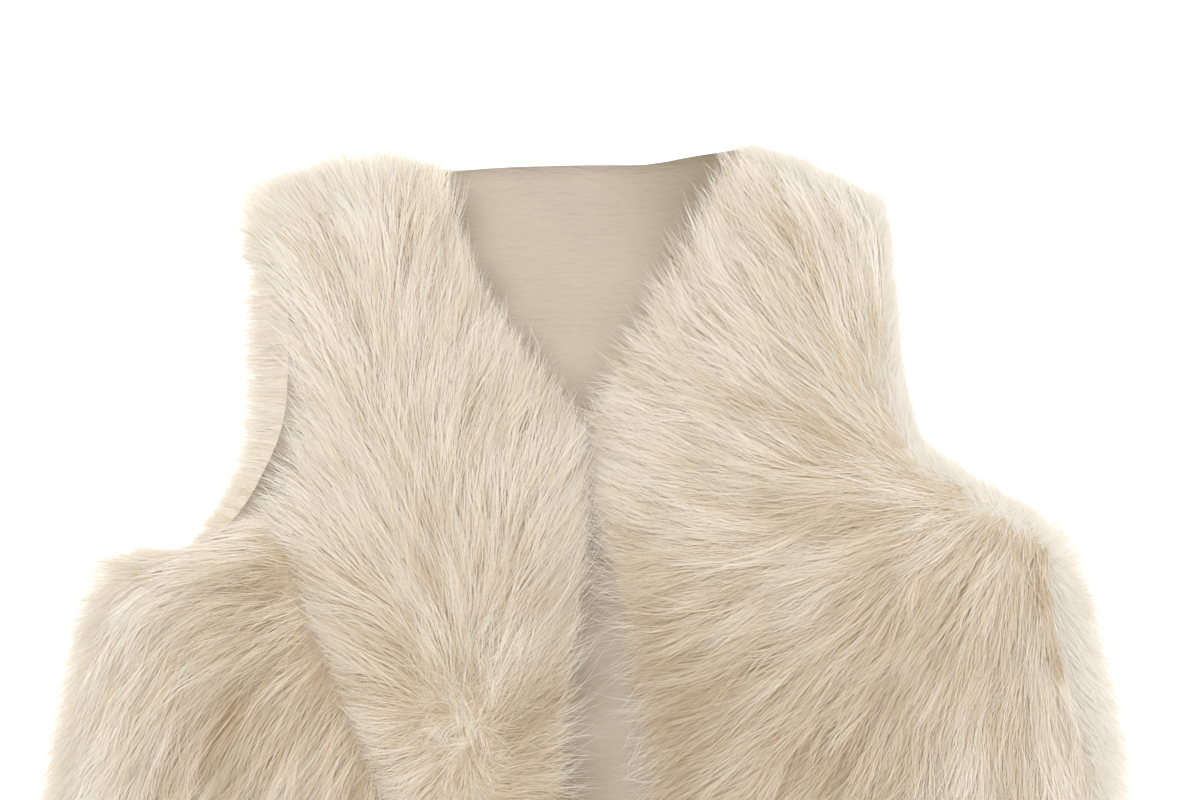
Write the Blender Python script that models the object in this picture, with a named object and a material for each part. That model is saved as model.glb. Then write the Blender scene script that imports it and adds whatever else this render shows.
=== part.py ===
"""A long-haired shearling gilet, laid open and flat with its hair side out.

The back lies hair down with its leather up. The two fronts lie on it, leather
down and hair up, and fall open below the breast. Four pelts are sewn together:
the back, the left front, and the right front in a centre and a side panel.

Frame: metres, +Z up off the surface it lies on, +Y towards the neck, +X towards
the wearer's left. The origin is on the surface, in the middle of the outline.
"""
from collections import namedtuple
from math import exp, hypot, sin

import bmesh
import bpy

MM = 0.001

# ---------------------------------------------------------------- driving sizes, in mm
SKIN = 1.2              # the leather wall
SEAM = 0.3              # clearance where pieces meet or rest on each other
PILE_UNDER = 14.0       # hair under the back, pressed by the garment's weight
PILE_FRONT = 26.0       # hair standing on the fronts
BED_WAVE = 0.7          # how far the whole garment rises and falls where it lies
FRONT_LIFT = 2.0        # how far the front edges stand off the back
TUCK = 6.0              # where the hair begins to round over, inside a panel's edge
WHORL = (-71.0, 341.0)  # across and drop of the dimple the right front's hair grows from
WHORL_DEPTH, WHORL_RADIUS = 9.0, 24.0
SEAM_CREST = 3.0        # the fuller hair along the right front's seam
CREST_AWAY = 26.0

# how far the hair reaches past the skin, in mm
REACH_HEM = 21.0
REACH_ARMHOLE_FRONT_R, REACH_ARMHOLE_FRONT_L = 12.0, 17.0
REACH_NECK_FRONT, REACH_OPENING = 14.0, 13.0
REACH_BREAK = 4.6       # where the two fronts touch
RECESS_NECK_BACK = -2.0
# how far the back's hair stands up outside a folded seam
RISE_SIDE, RISE_SHOULDER = 16.0, 13.0

# and past the back's edges: at a share of the way along, on the wearer's right and left
Reach = namedtuple("Reach", "along right left")
REACH_SHOULDER = (      # from the neck point to the shoulder tip
    Reach(0.00, 1.5, 2.5), Reach(0.25, 20, 12), Reach(0.50, 29, 15),
    Reach(0.80, 28, 17), Reach(1.00, 26.5, 15.5),
)
REACH_ARMHOLE = (       # on to the side seam
    Reach(0.00, 26.5, 15), Reach(0.12, 23.5, 14), Reach(0.30, 25.5, 18), Reach(0.45, 24, 15.5),
    Reach(0.55, 20.5, 16.5), Reach(0.65, 15.5, 14), Reach(0.75, 13.5, 14.5),
    Reach(0.88, 5, 19), Reach(1.00, 24, 20),
)
REACH_SIDE = (          # and down to the hem
    Reach(0.00, 24, 20), Reach(0.10, 34, 26), Reach(0.20, 35.5, 31), Reach(0.33, 34, 35),
    Reach(0.45, 33, 33), Reach(1.00, 32, 32),
)

# rows and columns of each panel's sections
ROWS_UPPER, ROWS_LOWER = 10, 9
COLS_BACK, COLS_FRONT_L, COLS_FRONT_R, COLS_SIDE_R = 16, 11, 8, 6

# ---------------------------------------------------------------- the cut, in mm
# across: from the centre line, plus to the wearer's left
# drop: below the neck point of the shoulder
Station = namedtuple("Station", "place across drop")

NECK_BACK = (
    Station("right neck point", -88, 4),
    Station("right of centre", -52, 1),
    Station("centre back", 2, -0.5),
    Station("left of centre", 38, -0.8),
    Station("left rise", 68, -6),
    Station("left neck point", 95, -10),
)
ARMHOLE_BACK_R = (
    Station("shoulder tip", -187, 37),
    Station("upper", -185, 84),
    Station("chest", -185, 133),
    Station("curve begins", -189, 164),
    Station("curve", -200, 190),
    Station("lower curve", -214, 214),
    Station("underarm", -237, 237),
    Station("side seam", -267, 252),
)
ARMHOLE_BACK_L = (
    Station("shoulder tip", 175, 31),
    Station("upper", 178, 84),
    Station("chest", 182, 133),
    Station("curve begins", 192, 164),
    Station("curve", 211, 189),
    Station("lower curve", 238, 211),
    Station("side seam", 282, 241),
)
SIDE_R = (
    Station("underarm", -267, 252),
    Station("ribs", -282, 301),
    Station("waist", -295, 352),
    Station("hip", -304, 400),
    Station("below hip", -310, 493),
    Station("hem", -313, 600),
)
SIDE_L = (
    Station("underarm", 282, 241),
    Station("ribs", 291, 301),
    Station("waist", 298, 350),
    Station("hip", 304, 400),
    Station("below hip", 310, 493),
    Station("hem", 313, 600),
)
NECK_FRONT_R = (
    Station("neck point", -92, 9),
    Station("upper", -82, 46),
    Station("middle", -62, 90),
    Station("lower", -34, 130),
    Station("break", -6, 166),
)
OPENING_R = (
    Station("break", -6, 166),
    Station("fronts touch", -3, 195),
    Station("parting", -5, 225),
    Station("ribs", -13, 300),
    Station("hip", -20, 400),
    Station("hem", -28, 597),
)
NECK_FRONT_L = (
    Station("neck point", 97, 0),
    Station("upper", 78, 40),
    Station("middle", 53, 87),
    Station("lower", 29, 131),
    Station("break", 10, 170),
)
OPENING_L = (
    Station("break", 10, 170),
    Station("fronts touch", 8, 195),
    Station("parting", 13, 228),
    Station("ribs", 33, 300),
    Station("hip", 51, 400),
    Station("hem", 65, 597),
)
ARMHOLE_FRONT_R = (
    Station("shoulder tip", -185, 42),
    Station("upper", -175, 84),
    Station("chest", -169, 133),
    Station("curve", -168, 165),
    Station("lower curve", -173, 190),
    Station("panel seam", -183, 212),
)
ARMHOLE_SIDE_R = (
    Station("side seam", -266, 254),
    Station("underarm", -240, 247),
    Station("lower curve", -211, 234),
    Station("panel seam", -183, 212),
)
ARMHOLE_FRONT_L = (
    Station("shoulder tip", 173, 36),
    Station("upper", 172, 84),
    Station("chest", 174, 133),
    Station("curve begins", 184, 166),
    Station("curve", 203, 192),
    Station("lower curve", 233, 216),
    Station("side seam", 281, 244),
)
PANEL_SEAM_R = (
    Station("armhole", -183, 212),
    Station("breast", -181, 230),
    Station("ribs", -166, 282),
    Station("waist", -142, 342),
    Station("hip", -124, 400),
    Station("below hip", -106, 490),
    Station("hem", -97, 597),
)


# ---------------------------------------------------------------- curves and panels
def bend(a, b, c, d, t):
    """A smooth curve from b to c, aimed by its neighbours a and d."""
    return tuple(0.5 * (2 * q + (r - p) * t + (2 * p - 5 * q + 4 * r - s) * t * t
                        + (3 * q - p - 3 * r + s) * t ** 3)
                 for p, q, r, s in zip(a, b, c, d))


def trace(stations, count, shift=0.0):
    """count + 1 points evenly along a smooth curve through the stations."""
    knots = [(s.across + shift, -float(s.drop)) for s in stations]
    first = tuple(2 * p - q for p, q in zip(knots[0], knots[1]))
    last = tuple(2 * p - q for p, q in zip(knots[-1], knots[-2]))
    knots = [first] + knots + [last]
    fine = [bend(*knots[i:i + 4], k / 24) for i in range(len(knots) - 3) for k in range(24)]
    fine.append(knots[-2])
    run = [0.0]
    for p, q in zip(fine, fine[1:]):
        run.append(run[-1] + hypot(q[0] - p[0], q[1] - p[1]))
    points, at = [], 0
    for k in range(count + 1):
        goal = run[-1] * k / count
        while at < len(run) - 2 and run[at + 1] < goal:
            at += 1
        span = run[at + 1] - run[at]
        t = (goal - run[at]) / span if span else 0.0
        points.append(tuple(p + (q - p) * t for p, q in zip(fine[at], fine[at + 1])))
    return points


def line(p, q, count):
    return [tuple(a + (b - a) * k / count for a, b in zip(p, q)) for k in range(count + 1)]


def panel(left, right, top, bottom):
    """A grid of points filled in between four edges that meet at their ends."""
    rows, cols = len(left) - 1, len(top) - 1
    grid = []
    for j in range(rows + 1):
        v = j / rows
        row = []
        for i in range(cols + 1):
            u = i / cols
            row.append(tuple(
                (1 - u) * left[j][k] + u * right[j][k] + (1 - v) * top[i][k] + v * bottom[i][k]
                - (1 - u) * (1 - v) * left[0][k] - u * (1 - v) * right[0][k]
                - (1 - u) * v * left[-1][k] - u * v * right[-1][k] for k in (0, 1)))
        grid.append(row)
    return grid


def rim(grid):
    """Row and column of each edge point, counter-clockwise seen from above."""
    rows, cols = len(grid) - 1, len(grid[0]) - 1
    return ([(j, 0) for j in range(rows)] + [(rows, i) for i in range(cols)]
            + [(j, cols) for j in range(rows, 0, -1)] + [(0, i) for i in range(cols, 0, -1)])


def outward(grid):
    """The direction out of the panel, in its plane, at each edge point."""
    loop = rim(grid)
    out = {}
    for n, (j, i) in enumerate(loop):
        here = grid[j][i]
        before, after = (grid[a][b] for a, b in (loop[n - 1], loop[(n + 1) % len(loop)]))
        sides = []
        for p, q in ((before, here), (here, after)):
            size = hypot(q[0] - p[0], q[1] - p[1])
            sides.append(((q[1] - p[1]) / size, (p[0] - q[0]) / size))
        x, y = sides[0][0] + sides[1][0], sides[0][1] + sides[1][1]
        size = hypot(x, y)
        out[j, i] = (x / size, y / size)
    return out


def ease(low, high, value):
    t = min(1.0, max(0.0, (value - low) / (high - low)))
    return t * t * (3 - 2 * t)


def reach_at(table, along, side):
    """The reach between the rows of a table, on side "right" or "left"."""
    for a, b in zip(table, table[1:]):
        if along <= b.along:
            t = (along - a.along) / (b.along - a.along)
            return getattr(a, side) + (getattr(b, side) - getattr(a, side)) * t
    return getattr(table[-1], side)


# ---------------------------------------------------------------- heights, in mm
def bed(x, y):
    """The slow rise and fall of everything that lies on the pressed hair."""
    return BED_WAVE * sin(x / 48 + 0.6) * sin(y / 66 + 0.4)


def back_height(x, y):
    return PILE_UNDER + SEAM + bed(x, y)


def front_height(x, y):
    lift = FRONT_LIFT * ease(0, 190, 255 - abs(x)) * ease(40, 190, -y)
    return back_height(x, y) + SKIN + SEAM + lift


def front_pile(x, y):
    away = hypot(x - WHORL[0], -y - WHORL[1])
    pile = PILE_FRONT - WHORL_DEPTH * exp(-(away / WHORL_RADIUS) ** 2)
    for upper, lower in zip(PANEL_SEAM_R, PANEL_SEAM_R[1:]):
        if upper.drop <= -y <= lower.drop:
            t = (-y - upper.drop) / (lower.drop - upper.drop)
            seam = upper.across + (lower.across - upper.across) * t
            pile += SEAM_CREST * exp(-((x - seam - CREST_AWAY) / 18) ** 2)
    return pile


# ---------------------------------------------------------------- solids
def add_object(name, points, faces, material):
    mesh = bpy.data.meshes.new(name)
    bm = bmesh.new()
    verts = [bm.verts.new((x * MM, y * MM, z * MM)) for x, y, z in points]
    for face in faces:
        bm.faces.new([verts[k] for k in face])
    bmesh.ops.recalc_face_normals(bm, faces=bm.faces)
    bm.to_mesh(mesh)
    bm.free()
    mesh.shade_smooth()
    mesh.materials.append(material)
    thing = bpy.data.objects.new(name, mesh)
    bpy.context.collection.objects.link(thing)
    return thing


def grid_faces(rows, cols, start, upward):
    faces = []
    for j in range(rows):
        for i in range(cols):
            a = start + j * (cols + 1) + i
            quad = (a, a + cols + 1, a + cols + 2, a + 1)
            faces.append(quad if upward else quad[::-1])
    return faces


def skin(name, grid, height, material):
    """A leather wall over a panel's points: a sheet, thickened upwards."""
    points = [(x, y, height(x, y)) for row in grid for x, y in row]
    faces = grid_faces(len(grid) - 1, len(grid[0]) - 1, 0, True)
    thing = add_object(name, points, faces, material)
    if thing.data.polygons[0].normal.z < 0:
        thing.data.flip_normals()
    wall = thing.modifiers.new("wall", "SOLIDIFY")
    wall.thickness = SKIN * MM
    wall.offset = 1.0
    return thing


def pelt_hair(name, grid, low, high, rings, material):
    """Hair as one solid between two heights over a panel, rounded at its edge.

    rings(row, column) gives the edge's rounding from top to bottom, as pairs of
    distance out of the skin's edge and height.
    """
    out, loop = outward(grid), rim(grid)
    rows, cols = len(grid) - 1, len(grid[0]) - 1

    def moved(j, i, away):
        x, y = grid[j][i]
        return x + out[j, i][0] * away, y + out[j, i][1] * away

    inner = [[moved(j, i, -TUCK) if (j, i) in out else grid[j][i] for i in range(cols + 1)]
             for j in range(rows + 1)]
    points = [(x, y, high(x, y)) for row in inner for x, y in row]
    below = len(points)
    points += [(x, y, low(x, y)) for row in inner for x, y in row]
    faces = grid_faces(rows, cols, 0, True) + grid_faces(rows, cols, below, False)
    last = [j * (cols + 1) + i for j, i in loop]
    under = [below + k for k in last]
    profiles = [rings(j, i) for j, i in loop]
    for step in range(len(profiles[0])):
        ring = []
        for (j, i), profile in zip(loop, profiles):
            away, z = profile[step]
            x, y = moved(j, i, away)
            ring.append(len(points))
            points.append((x, y, z))
        faces += [(last[n - 1], ring[n - 1], ring[n], last[n]) for n in range(len(ring))]
        last = ring
    faces += [(last[n - 1], under[n - 1], under[n], last[n]) for n in range(len(under))]
    return add_object(name, points, faces, material)


# the rounding of a front's hair edge: share of the way out, share of the pile
NOSE_FRONT = ((0.42, 0.95), (0.78, 0.72), (1.00, 0.38), (0.90, 0.08))
# and of the back's: share of the reach, share of the height there
NOSE_BACK = ((0.30, 1.00), (0.70, 0.80), (1.00, 0.42), (0.94, 0.10), (0.80, 0.00))
NOSE_RECESSED = (0.3, 0.45, 0.6, 0.8, 1.0, 0.9, 0.7)


def front_rings(grid, reach):
    def rings(j, i):
        x, y = grid[j][i]
        base = front_height(x, y) + SKIN + SEAM
        span = TUCK + reach(j, i)
        return [(-TUCK + share * span, base + up * front_pile(x, y)) for share, up in NOSE_FRONT]
    return rings


def back_rings(grid, reach, rise):
    def rings(j, i):
        x, y = grid[j][i]
        top = PILE_UNDER + bed(x, y)
        far, up = reach(j, i), rise(j, i)
        if far <= 1.0:
            span = TUCK + far
            heights = (top, top, top, top * 0.8, top * 0.42, top * 0.1, 0.0)
            return [(-TUCK + share * span, z) for share, z in zip(NOSE_RECESSED, heights)]
        return [(SEAM, top), (2 * SEAM, top + 0.8 * up)] + [
            (share * far, (top + up) * z) for share, z in NOSE_BACK]
    return rings


def finish(name, colour, roughness, sheen):
    material = bpy.data.materials.new(name)
    material.use_nodes = True
    shader = material.node_tree.nodes["Principled BSDF"]
    shader.inputs["Base Color"].default_value = (*colour, 1.0)
    shader.inputs["Roughness"].default_value = roughness
    shader.inputs["Metallic"].default_value = 0.0
    shader.inputs["Sheen Weight"].default_value = sheen
    material.diffuse_color = (*colour, 1.0)
    return material


def main():
    for old in list(bpy.data.objects):
        bpy.data.objects.remove(old, do_unlink=True)

    upper, lower = ROWS_UPPER, ROWS_LOWER
    rows = upper + lower

    # ---- the four panels
    half = COLS_BACK // 4
    neck = trace(NECK_BACK, COLS_BACK - 2 * half)
    armhole_r, armhole_l = trace(ARMHOLE_BACK_R, upper), trace(ARMHOLE_BACK_L, upper)
    side_r, side_l = trace(SIDE_R, lower), trace(SIDE_L, lower)
    top = line(armhole_r[0], neck[0], half)[:-1] + neck + line(neck[-1], armhole_l[0], half)[1:]
    back = panel(armhole_r + side_r[1:], armhole_l + side_l[1:], top,
                 line(side_r[-1], side_l[-1], COLS_BACK))

    left = trace(NECK_FRONT_L, upper) + trace(OPENING_L, lower)[1:]
    right = trace(ARMHOLE_FRONT_L, upper) + side_l[1:]
    front_l = panel(left, right, line(left[0], right[0], COLS_FRONT_L),
                    line(left[-1], right[-1], COLS_FRONT_L))

    gap = 0.6 * SEAM
    seam_c, seam_s = trace(PANEL_SEAM_R, lower, gap), trace(PANEL_SEAM_R, lower, -gap)
    left = trace(ARMHOLE_FRONT_R, upper, gap) + seam_c[1:]
    right = trace(NECK_FRONT_R, upper) + trace(OPENING_R, lower)[1:]
    front_r = panel(left, right, line(left[0], right[0], COLS_FRONT_R),
                    line(left[-1], right[-1], COLS_FRONT_R))

    top = trace(ARMHOLE_SIDE_R, COLS_SIDE_R, -gap)
    left = trace(SIDE_R, lower)
    left[0] = top[0]
    side = panel(left, seam_s, top, line(left[-1], seam_s[-1], COLS_SIDE_R))

    # ---- how far the hair reaches past each edge
    def back_reach(j, i):
        side = "right" if i < COLS_BACK / 2 else "left"
        if 0 < i < COLS_BACK:
            if j:
                return REACH_HEM
            if half <= i <= COLS_BACK - half:
                return RECESS_NECK_BACK
            return reach_at(REACH_SHOULDER, 1 - min(i, COLS_BACK - i) / half, side)
        if j == rows:
            return 0.5 * (REACH_HEM + reach_at(REACH_SIDE, 1, side))
        if j <= upper:
            return reach_at(REACH_ARMHOLE, j / upper, side)
        return reach_at(REACH_SIDE, (j - upper) / lower, side)

    def back_rise(j, i):
        if 0 < i < COLS_BACK:
            if j or half - 1 <= i <= COLS_BACK - half + 1:
                return 0.0
            return RISE_SHOULDER * (0.7 if i in (1, COLS_BACK - 1) else 1.0)
        return RISE_SIDE * ease(upper - 1, upper + 1, j) * min(1, rows - j)

    def neck_to_hem(j):
        """Reach along a front's neck and opening edge."""
        if j <= upper:
            return REACH_NECK_FRONT + (REACH_BREAK - REACH_NECK_FRONT) * ease(upper - 4, upper, j)
        return REACH_BREAK + (REACH_OPENING - REACH_BREAK) * ease(upper + 1, upper + 4, j)

    def front_reach(open_col, cols, armhole):
        """Reach round a front whose opening edge is at one column and seam at the other."""
        def reach(j, i):
            if 0 < i < cols:
                return REACH_HEM if j else -SEAM
            if j == 0:
                return -SEAM
            if i == open_col:
                return neck_to_hem(j)
            if j < upper:
                return -SEAM + armhole * ease(0, 3, j) * ease(0, 3, upper - j)
            return -SEAM
        return reach

    def side_reach(j, i):
        if j == 0:
            return REACH_ARMHOLE_FRONT_R * 0.5 if 1 < i < COLS_SIDE_R - 1 else -SEAM
        return REACH_HEM if j == lower and 0 < i < COLS_SIDE_R else -SEAM

    # ---- materials
    leather = finish("nappa_leather", (0.66, 0.57, 0.45), 0.55, 0.1)
    hair_back = finish("sheep_hair_back", (0.76, 0.66, 0.54), 0.8, 0.3)
    hair_front = finish("sheep_hair_front", (0.78, 0.68, 0.56), 0.8, 0.3)

    # ---- the pieces
    pieces = [
        skin("back_skin", back, back_height, leather),
        pelt_hair("back_fur", back, lambda x, y: 0.0, lambda x, y: PILE_UNDER + bed(x, y),
                  back_rings(back, back_reach, back_rise), hair_back),
    ]
    for name, grid, reach in (("front_L", front_l, front_reach(0, COLS_FRONT_L, REACH_ARMHOLE_FRONT_L)),
                              ("front_R", front_r, front_reach(COLS_FRONT_R, COLS_FRONT_R, REACH_ARMHOLE_FRONT_R)),
                              ("side_R", side, side_reach)):
        pieces.append(skin(name + "_skin", grid, front_height, leather))
        pieces.append(pelt_hair(
            name + "_fur", grid, lambda x, y: front_height(x, y) + SKIN + SEAM,
            lambda x, y: front_height(x, y) + SKIN + SEAM + front_pile(x, y),
            front_rings(grid, reach), hair_front))

    # ---- bring the middle of the outline to the origin
    spots = [v.co for piece in pieces for v in piece.data.vertices]
    for piece in pieces:
        piece.location = [-0.5 * (min(p[k] for p in spots) + max(p[k] for p in spots))
                          for k in (0, 1)] + [0.0]


main()
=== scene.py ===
"""Looks of the long-haired shearling gilet: grown hair, leather, light and camera."""

from collections import namedtuple
from math import pi, radians

import bpy
import numpy as np
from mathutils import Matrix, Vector
from mathutils.kdtree import KDTree


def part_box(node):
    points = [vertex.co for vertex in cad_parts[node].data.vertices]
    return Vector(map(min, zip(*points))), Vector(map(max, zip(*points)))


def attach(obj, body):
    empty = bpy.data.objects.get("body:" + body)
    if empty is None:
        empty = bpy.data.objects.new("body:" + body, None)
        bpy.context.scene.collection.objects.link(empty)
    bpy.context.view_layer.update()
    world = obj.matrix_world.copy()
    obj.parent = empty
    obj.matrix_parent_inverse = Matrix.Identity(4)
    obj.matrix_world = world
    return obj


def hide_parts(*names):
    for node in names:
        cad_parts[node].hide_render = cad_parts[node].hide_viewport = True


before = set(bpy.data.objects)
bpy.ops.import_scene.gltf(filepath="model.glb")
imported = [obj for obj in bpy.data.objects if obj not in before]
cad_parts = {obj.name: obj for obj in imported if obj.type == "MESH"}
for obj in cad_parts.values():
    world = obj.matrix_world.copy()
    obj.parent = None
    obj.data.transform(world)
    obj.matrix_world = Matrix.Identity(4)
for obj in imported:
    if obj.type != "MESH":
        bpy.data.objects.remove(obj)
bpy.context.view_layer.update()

# ------------------------------------------------------------------ sizes, in mm as in the CAD
SKIN, SEAM = 1.2, 0.3
PILE_UNDER, HIGHEST = 14.0, 57.0
BED_WAVE, FRONT_LIFT = 0.7, 2.0
# how far the hair reaches past an edge: at a share of the way along, on the wearer's right and left
Reach = namedtuple("Reach", "along right left")
REACH_SHOULDER = (      # from the neck point to the shoulder tip
    Reach(0.00, 0, 0), Reach(0.12, 10, 3.4), Reach(0.25, 23, 8.3), Reach(0.50, 36, 14.5),
    Reach(0.80, 32, 14), Reach(1.00, 33, 14))
REACH_ARMHOLE = (       # on to the side seam
    Reach(0.00, 32, 16), Reach(0.12, 28, 15.5), Reach(0.21, 30, 15.5), Reach(0.30, 32, 19.5), Reach(0.40, 30, 18),
    Reach(0.51, 26.5, 19.5), Reach(0.56, 23.5, 19), Reach(0.62, 20, 15), Reach(0.68, 17, 12), Reach(0.77, 14, 19),
    Reach(0.88, 4.5, 23), Reach(0.94, 8, 24), Reach(1.00, 25, 26))
REACH_SIDE = (          # and down to the hem
    Reach(0.00, 36, 28), Reach(0.10, 43, 36), Reach(0.20, 42, 41), Reach(0.33, 40, 44),
    Reach(0.45, 40, 39), Reach(1.00, 36, 34))
REACH_HEM = (Reach(0.0, 22, 22), Reach(1.0, 22, 22))
REACH_FOOT = (Reach(0.0, 35, 34), Reach(0.5, 35, 34), Reach(1.0, 24, 24))     # round the hem's corners
REACH_FRONT_ARMHOLE = (Reach(0.0, 18, 18), Reach(0.15, 21, 21), Reach(0.3, 26, 26), Reach(0.45, 27, 27),
                       Reach(0.58, 20, 20), Reach(0.68, 13, 13), Reach(0.78, 15, 15), Reach(0.88, 22, 22), Reach(1.0, 20, 20))
REACH_CORNER = (        # round the underarm, from the armhole to the side
    Reach(0.00, 7, 25), Reach(0.25, 28, 27), Reach(0.45, 49, 31), Reach(0.70, 50, 35), Reach(1.00, 46, 37))
REACH_TIP = (           # round the shoulder tip
    Reach(0.00, 34, 14), Reach(0.40, 38, 16), Reach(0.60, 38, 16), Reach(1.00, 31, 15))
REACH_FRONT_SIDE = (Reach(0.0, 9, 9), Reach(1.0, 11, 11))
REACH_SIDE_TOP = (Reach(0.0, 5, 5), Reach(0.4, 8, 8), Reach(0.7, 14, 14), Reach(1.0, 17, 17))    # side panel, by the armhole
WHORL_R = np.array((-71.0, -341.0))     # the right front's hair grows away from here
WHORL_L = np.array((267.0, -211.0))     # and the left front's from here, by the underarm

Station = namedtuple("Station", "place across drop")
NECK_BACK = (
    Station("right neck point", -88, 4), Station("right of centre", -52, 1),
    Station("centre back", 2, -0.5), Station("left of centre", 38, -0.8),
    Station("left rise", 68, -6), Station("left neck point", 95, -10))
ARMHOLE_BACK_R = (
    Station("shoulder tip", -187, 37), Station("upper", -185, 84), Station("chest", -185, 133),
    Station("curve begins", -189, 164), Station("curve", -200, 190),
    Station("lower curve", -214, 214), Station("underarm", -237, 237),
    Station("side seam", -267, 252))
ARMHOLE_BACK_L = (
    Station("shoulder tip", 175, 31), Station("upper", 178, 84), Station("chest", 182, 133),
    Station("curve begins", 192, 164), Station("curve", 211, 189),
    Station("lower curve", 238, 211), Station("side seam", 282, 241))
SIDE_R = (
    Station("underarm", -267, 252), Station("ribs", -282, 301), Station("waist", -295, 352),
    Station("hip", -304, 400), Station("below hip", -310, 493), Station("hem", -313, 600))
SIDE_L = (
    Station("underarm", 282, 241), Station("ribs", 291, 301), Station("waist", 298, 350),
    Station("hip", 304, 400), Station("below hip", 310, 493), Station("hem", 313, 600))
NECK_FRONT_R = (
    Station("neck point", -92, 9), Station("upper", -82, 46), Station("middle", -62, 90),
    Station("lower", -34, 130), Station("break", -6, 166))
OPENING_R = (
    Station("break", -6, 166), Station("fronts touch", -3, 195), Station("parting", -5, 225),
    Station("ribs", -13, 300), Station("hip", -20, 400), Station("hem", -28, 597))
NECK_FRONT_L = (
    Station("neck point", 97, 0), Station("upper", 78, 40), Station("middle", 53, 87),
    Station("lower", 29, 131), Station("break", 10, 170))
OPENING_L = (
    Station("break", 10, 170), Station("fronts touch", 8, 195), Station("parting", 13, 228),
    Station("ribs", 33, 300), Station("hip", 51, 400), Station("hem", 65, 597))
ARMHOLE_FRONT_R = (
    Station("shoulder tip", -185, 42), Station("upper", -175, 84), Station("chest", -169, 133),
    Station("curve", -168, 165), Station("lower curve", -173, 190),
    Station("panel seam", -183, 212))
ARMHOLE_SIDE_R = (
    Station("side seam", -266, 254), Station("underarm", -240, 247),
    Station("lower curve", -211, 234), Station("panel seam", -183, 212))
ARMHOLE_FRONT_L = (
    Station("shoulder tip", 173, 36), Station("upper", 172, 84), Station("chest", 174, 133),
    Station("curve begins", 184, 166), Station("curve", 203, 192),
    Station("lower curve", 233, 216), Station("side seam", 281, 244))
PANEL_SEAM_R = (
    Station("armhole", -183, 212), Station("breast", -181, 230), Station("ribs", -166, 282),
    Station("waist", -142, 342), Station("hip", -124, 400), Station("below hip", -106, 490),
    Station("hem", -97, 597))

# the CAD's outline is centred, so the cut moves by as much
low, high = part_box("back_skin")
SHIFT = np.array((low[0] * 1000 + 313.0, high[1] * 1000 - 10.0))


# ------------------------------------------------------------------ the cut
def trace(stations, count, shift=0.0):
    """count + 1 points evenly along a smooth curve through the stations."""
    knots = np.array([(s.across + shift, -float(s.drop)) for s in stations])
    knots = np.vstack((2 * knots[:1] - knots[1:2], knots, 2 * knots[-1:] - knots[-2:-1]))
    t = (np.arange(24) / 24)[:, None]
    fine = []
    for a, b, c, d in zip(knots, knots[1:], knots[2:], knots[3:]):
        fine.append(0.5 * (2 * b + (c - a) * t + (2 * a - 5 * b + 4 * c - d) * t * t
                           + (3 * b - a - 3 * c + d) * t ** 3))
    fine = np.vstack(fine + [knots[-2:-1]])
    run = np.concatenate(([0], np.cumsum(np.hypot(*np.diff(fine, axis=0).T))))
    at = np.linspace(0, run[-1], count + 1)
    return np.stack([np.interp(at, run, fine[:, k]) for k in (0, 1)], axis=1)


def line(p, q, count):
    return p + (q - p) * np.linspace(0, 1, count + 1)[:, None]


def joined(first, second):
    return np.vstack((first, second[1:]))


def panel(left, right, top, bottom):
    v = np.linspace(0, 1, len(left))[:, None, None]
    u = np.linspace(0, 1, len(top))[None, :, None]
    return ((1 - u) * left[:, None] + u * right[:, None] + (1 - v) * top[None] + v * bottom[None]
            - (1 - u) * (1 - v) * left[0] - u * (1 - v) * right[0]
            - (1 - u) * v * left[-1] - u * v * right[-1])


def panels(upper, lower, cols):
    """The four panels as grids of points, each with the given rows and columns."""
    half = cols // 4
    neck = trace(NECK_BACK, cols - 2 * half)
    arm_r, arm_l = trace(ARMHOLE_BACK_R, upper), trace(ARMHOLE_BACK_L, upper)
    side_r, side_l = trace(SIDE_R, lower), trace(SIDE_L, lower)
    top = joined(joined(line(arm_r[0], neck[0], half), neck), line(neck[-1], arm_l[0], half))
    cut = {"back": panel(joined(arm_r, side_r), joined(arm_l, side_l), top,
                         line(side_r[-1], side_l[-1], cols))}
    left = joined(trace(NECK_FRONT_L, upper), trace(OPENING_L, lower))
    right = joined(trace(ARMHOLE_FRONT_L, upper), side_l)
    cut["front_L"] = panel(left, right, line(left[0], right[0], cols), line(left[-1], right[-1], cols))
    gap = 0.6 * SEAM
    left = joined(trace(ARMHOLE_FRONT_R, upper, gap), trace(PANEL_SEAM_R, lower, gap))
    right = joined(trace(NECK_FRONT_R, upper), trace(OPENING_R, lower))
    cut["front_R"] = panel(left, right, line(left[0], right[0], cols), line(left[-1], right[-1], cols))
    top = trace(ARMHOLE_SIDE_R, cols, -gap)
    left, right = trace(SIDE_R, lower), trace(PANEL_SEAM_R, lower, -gap)
    left[0] = top[0]
    cut["side_R"] = panel(left, right, top, line(left[-1], right[-1], cols))
    return cut


def rim(grid):
    return np.vstack((grid[:-1, 0], grid[-1, :-1], grid[:0:-1, -1], grid[0, :0:-1]))


def ease(a, b, value):
    t = np.clip((value - a) / (b - a), 0, 1)
    return t * t * (3 - 2 * t)


def bed(x, y):
    return BED_WAVE * np.sin(x / 48 + 0.6) * np.sin(y / 66 + 0.4)


def back_height(x, y):
    return PILE_UNDER + SEAM + bed(x, y)


def front_height(x, y):
    lift = FRONT_LIFT * ease(0, 190, 255 - np.abs(x)) * ease(40, 190, -y)
    return back_height(x, y) + SKIN + SEAM + lift


def front_top(x, y):
    return front_height(x, y) + SKIN


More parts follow.
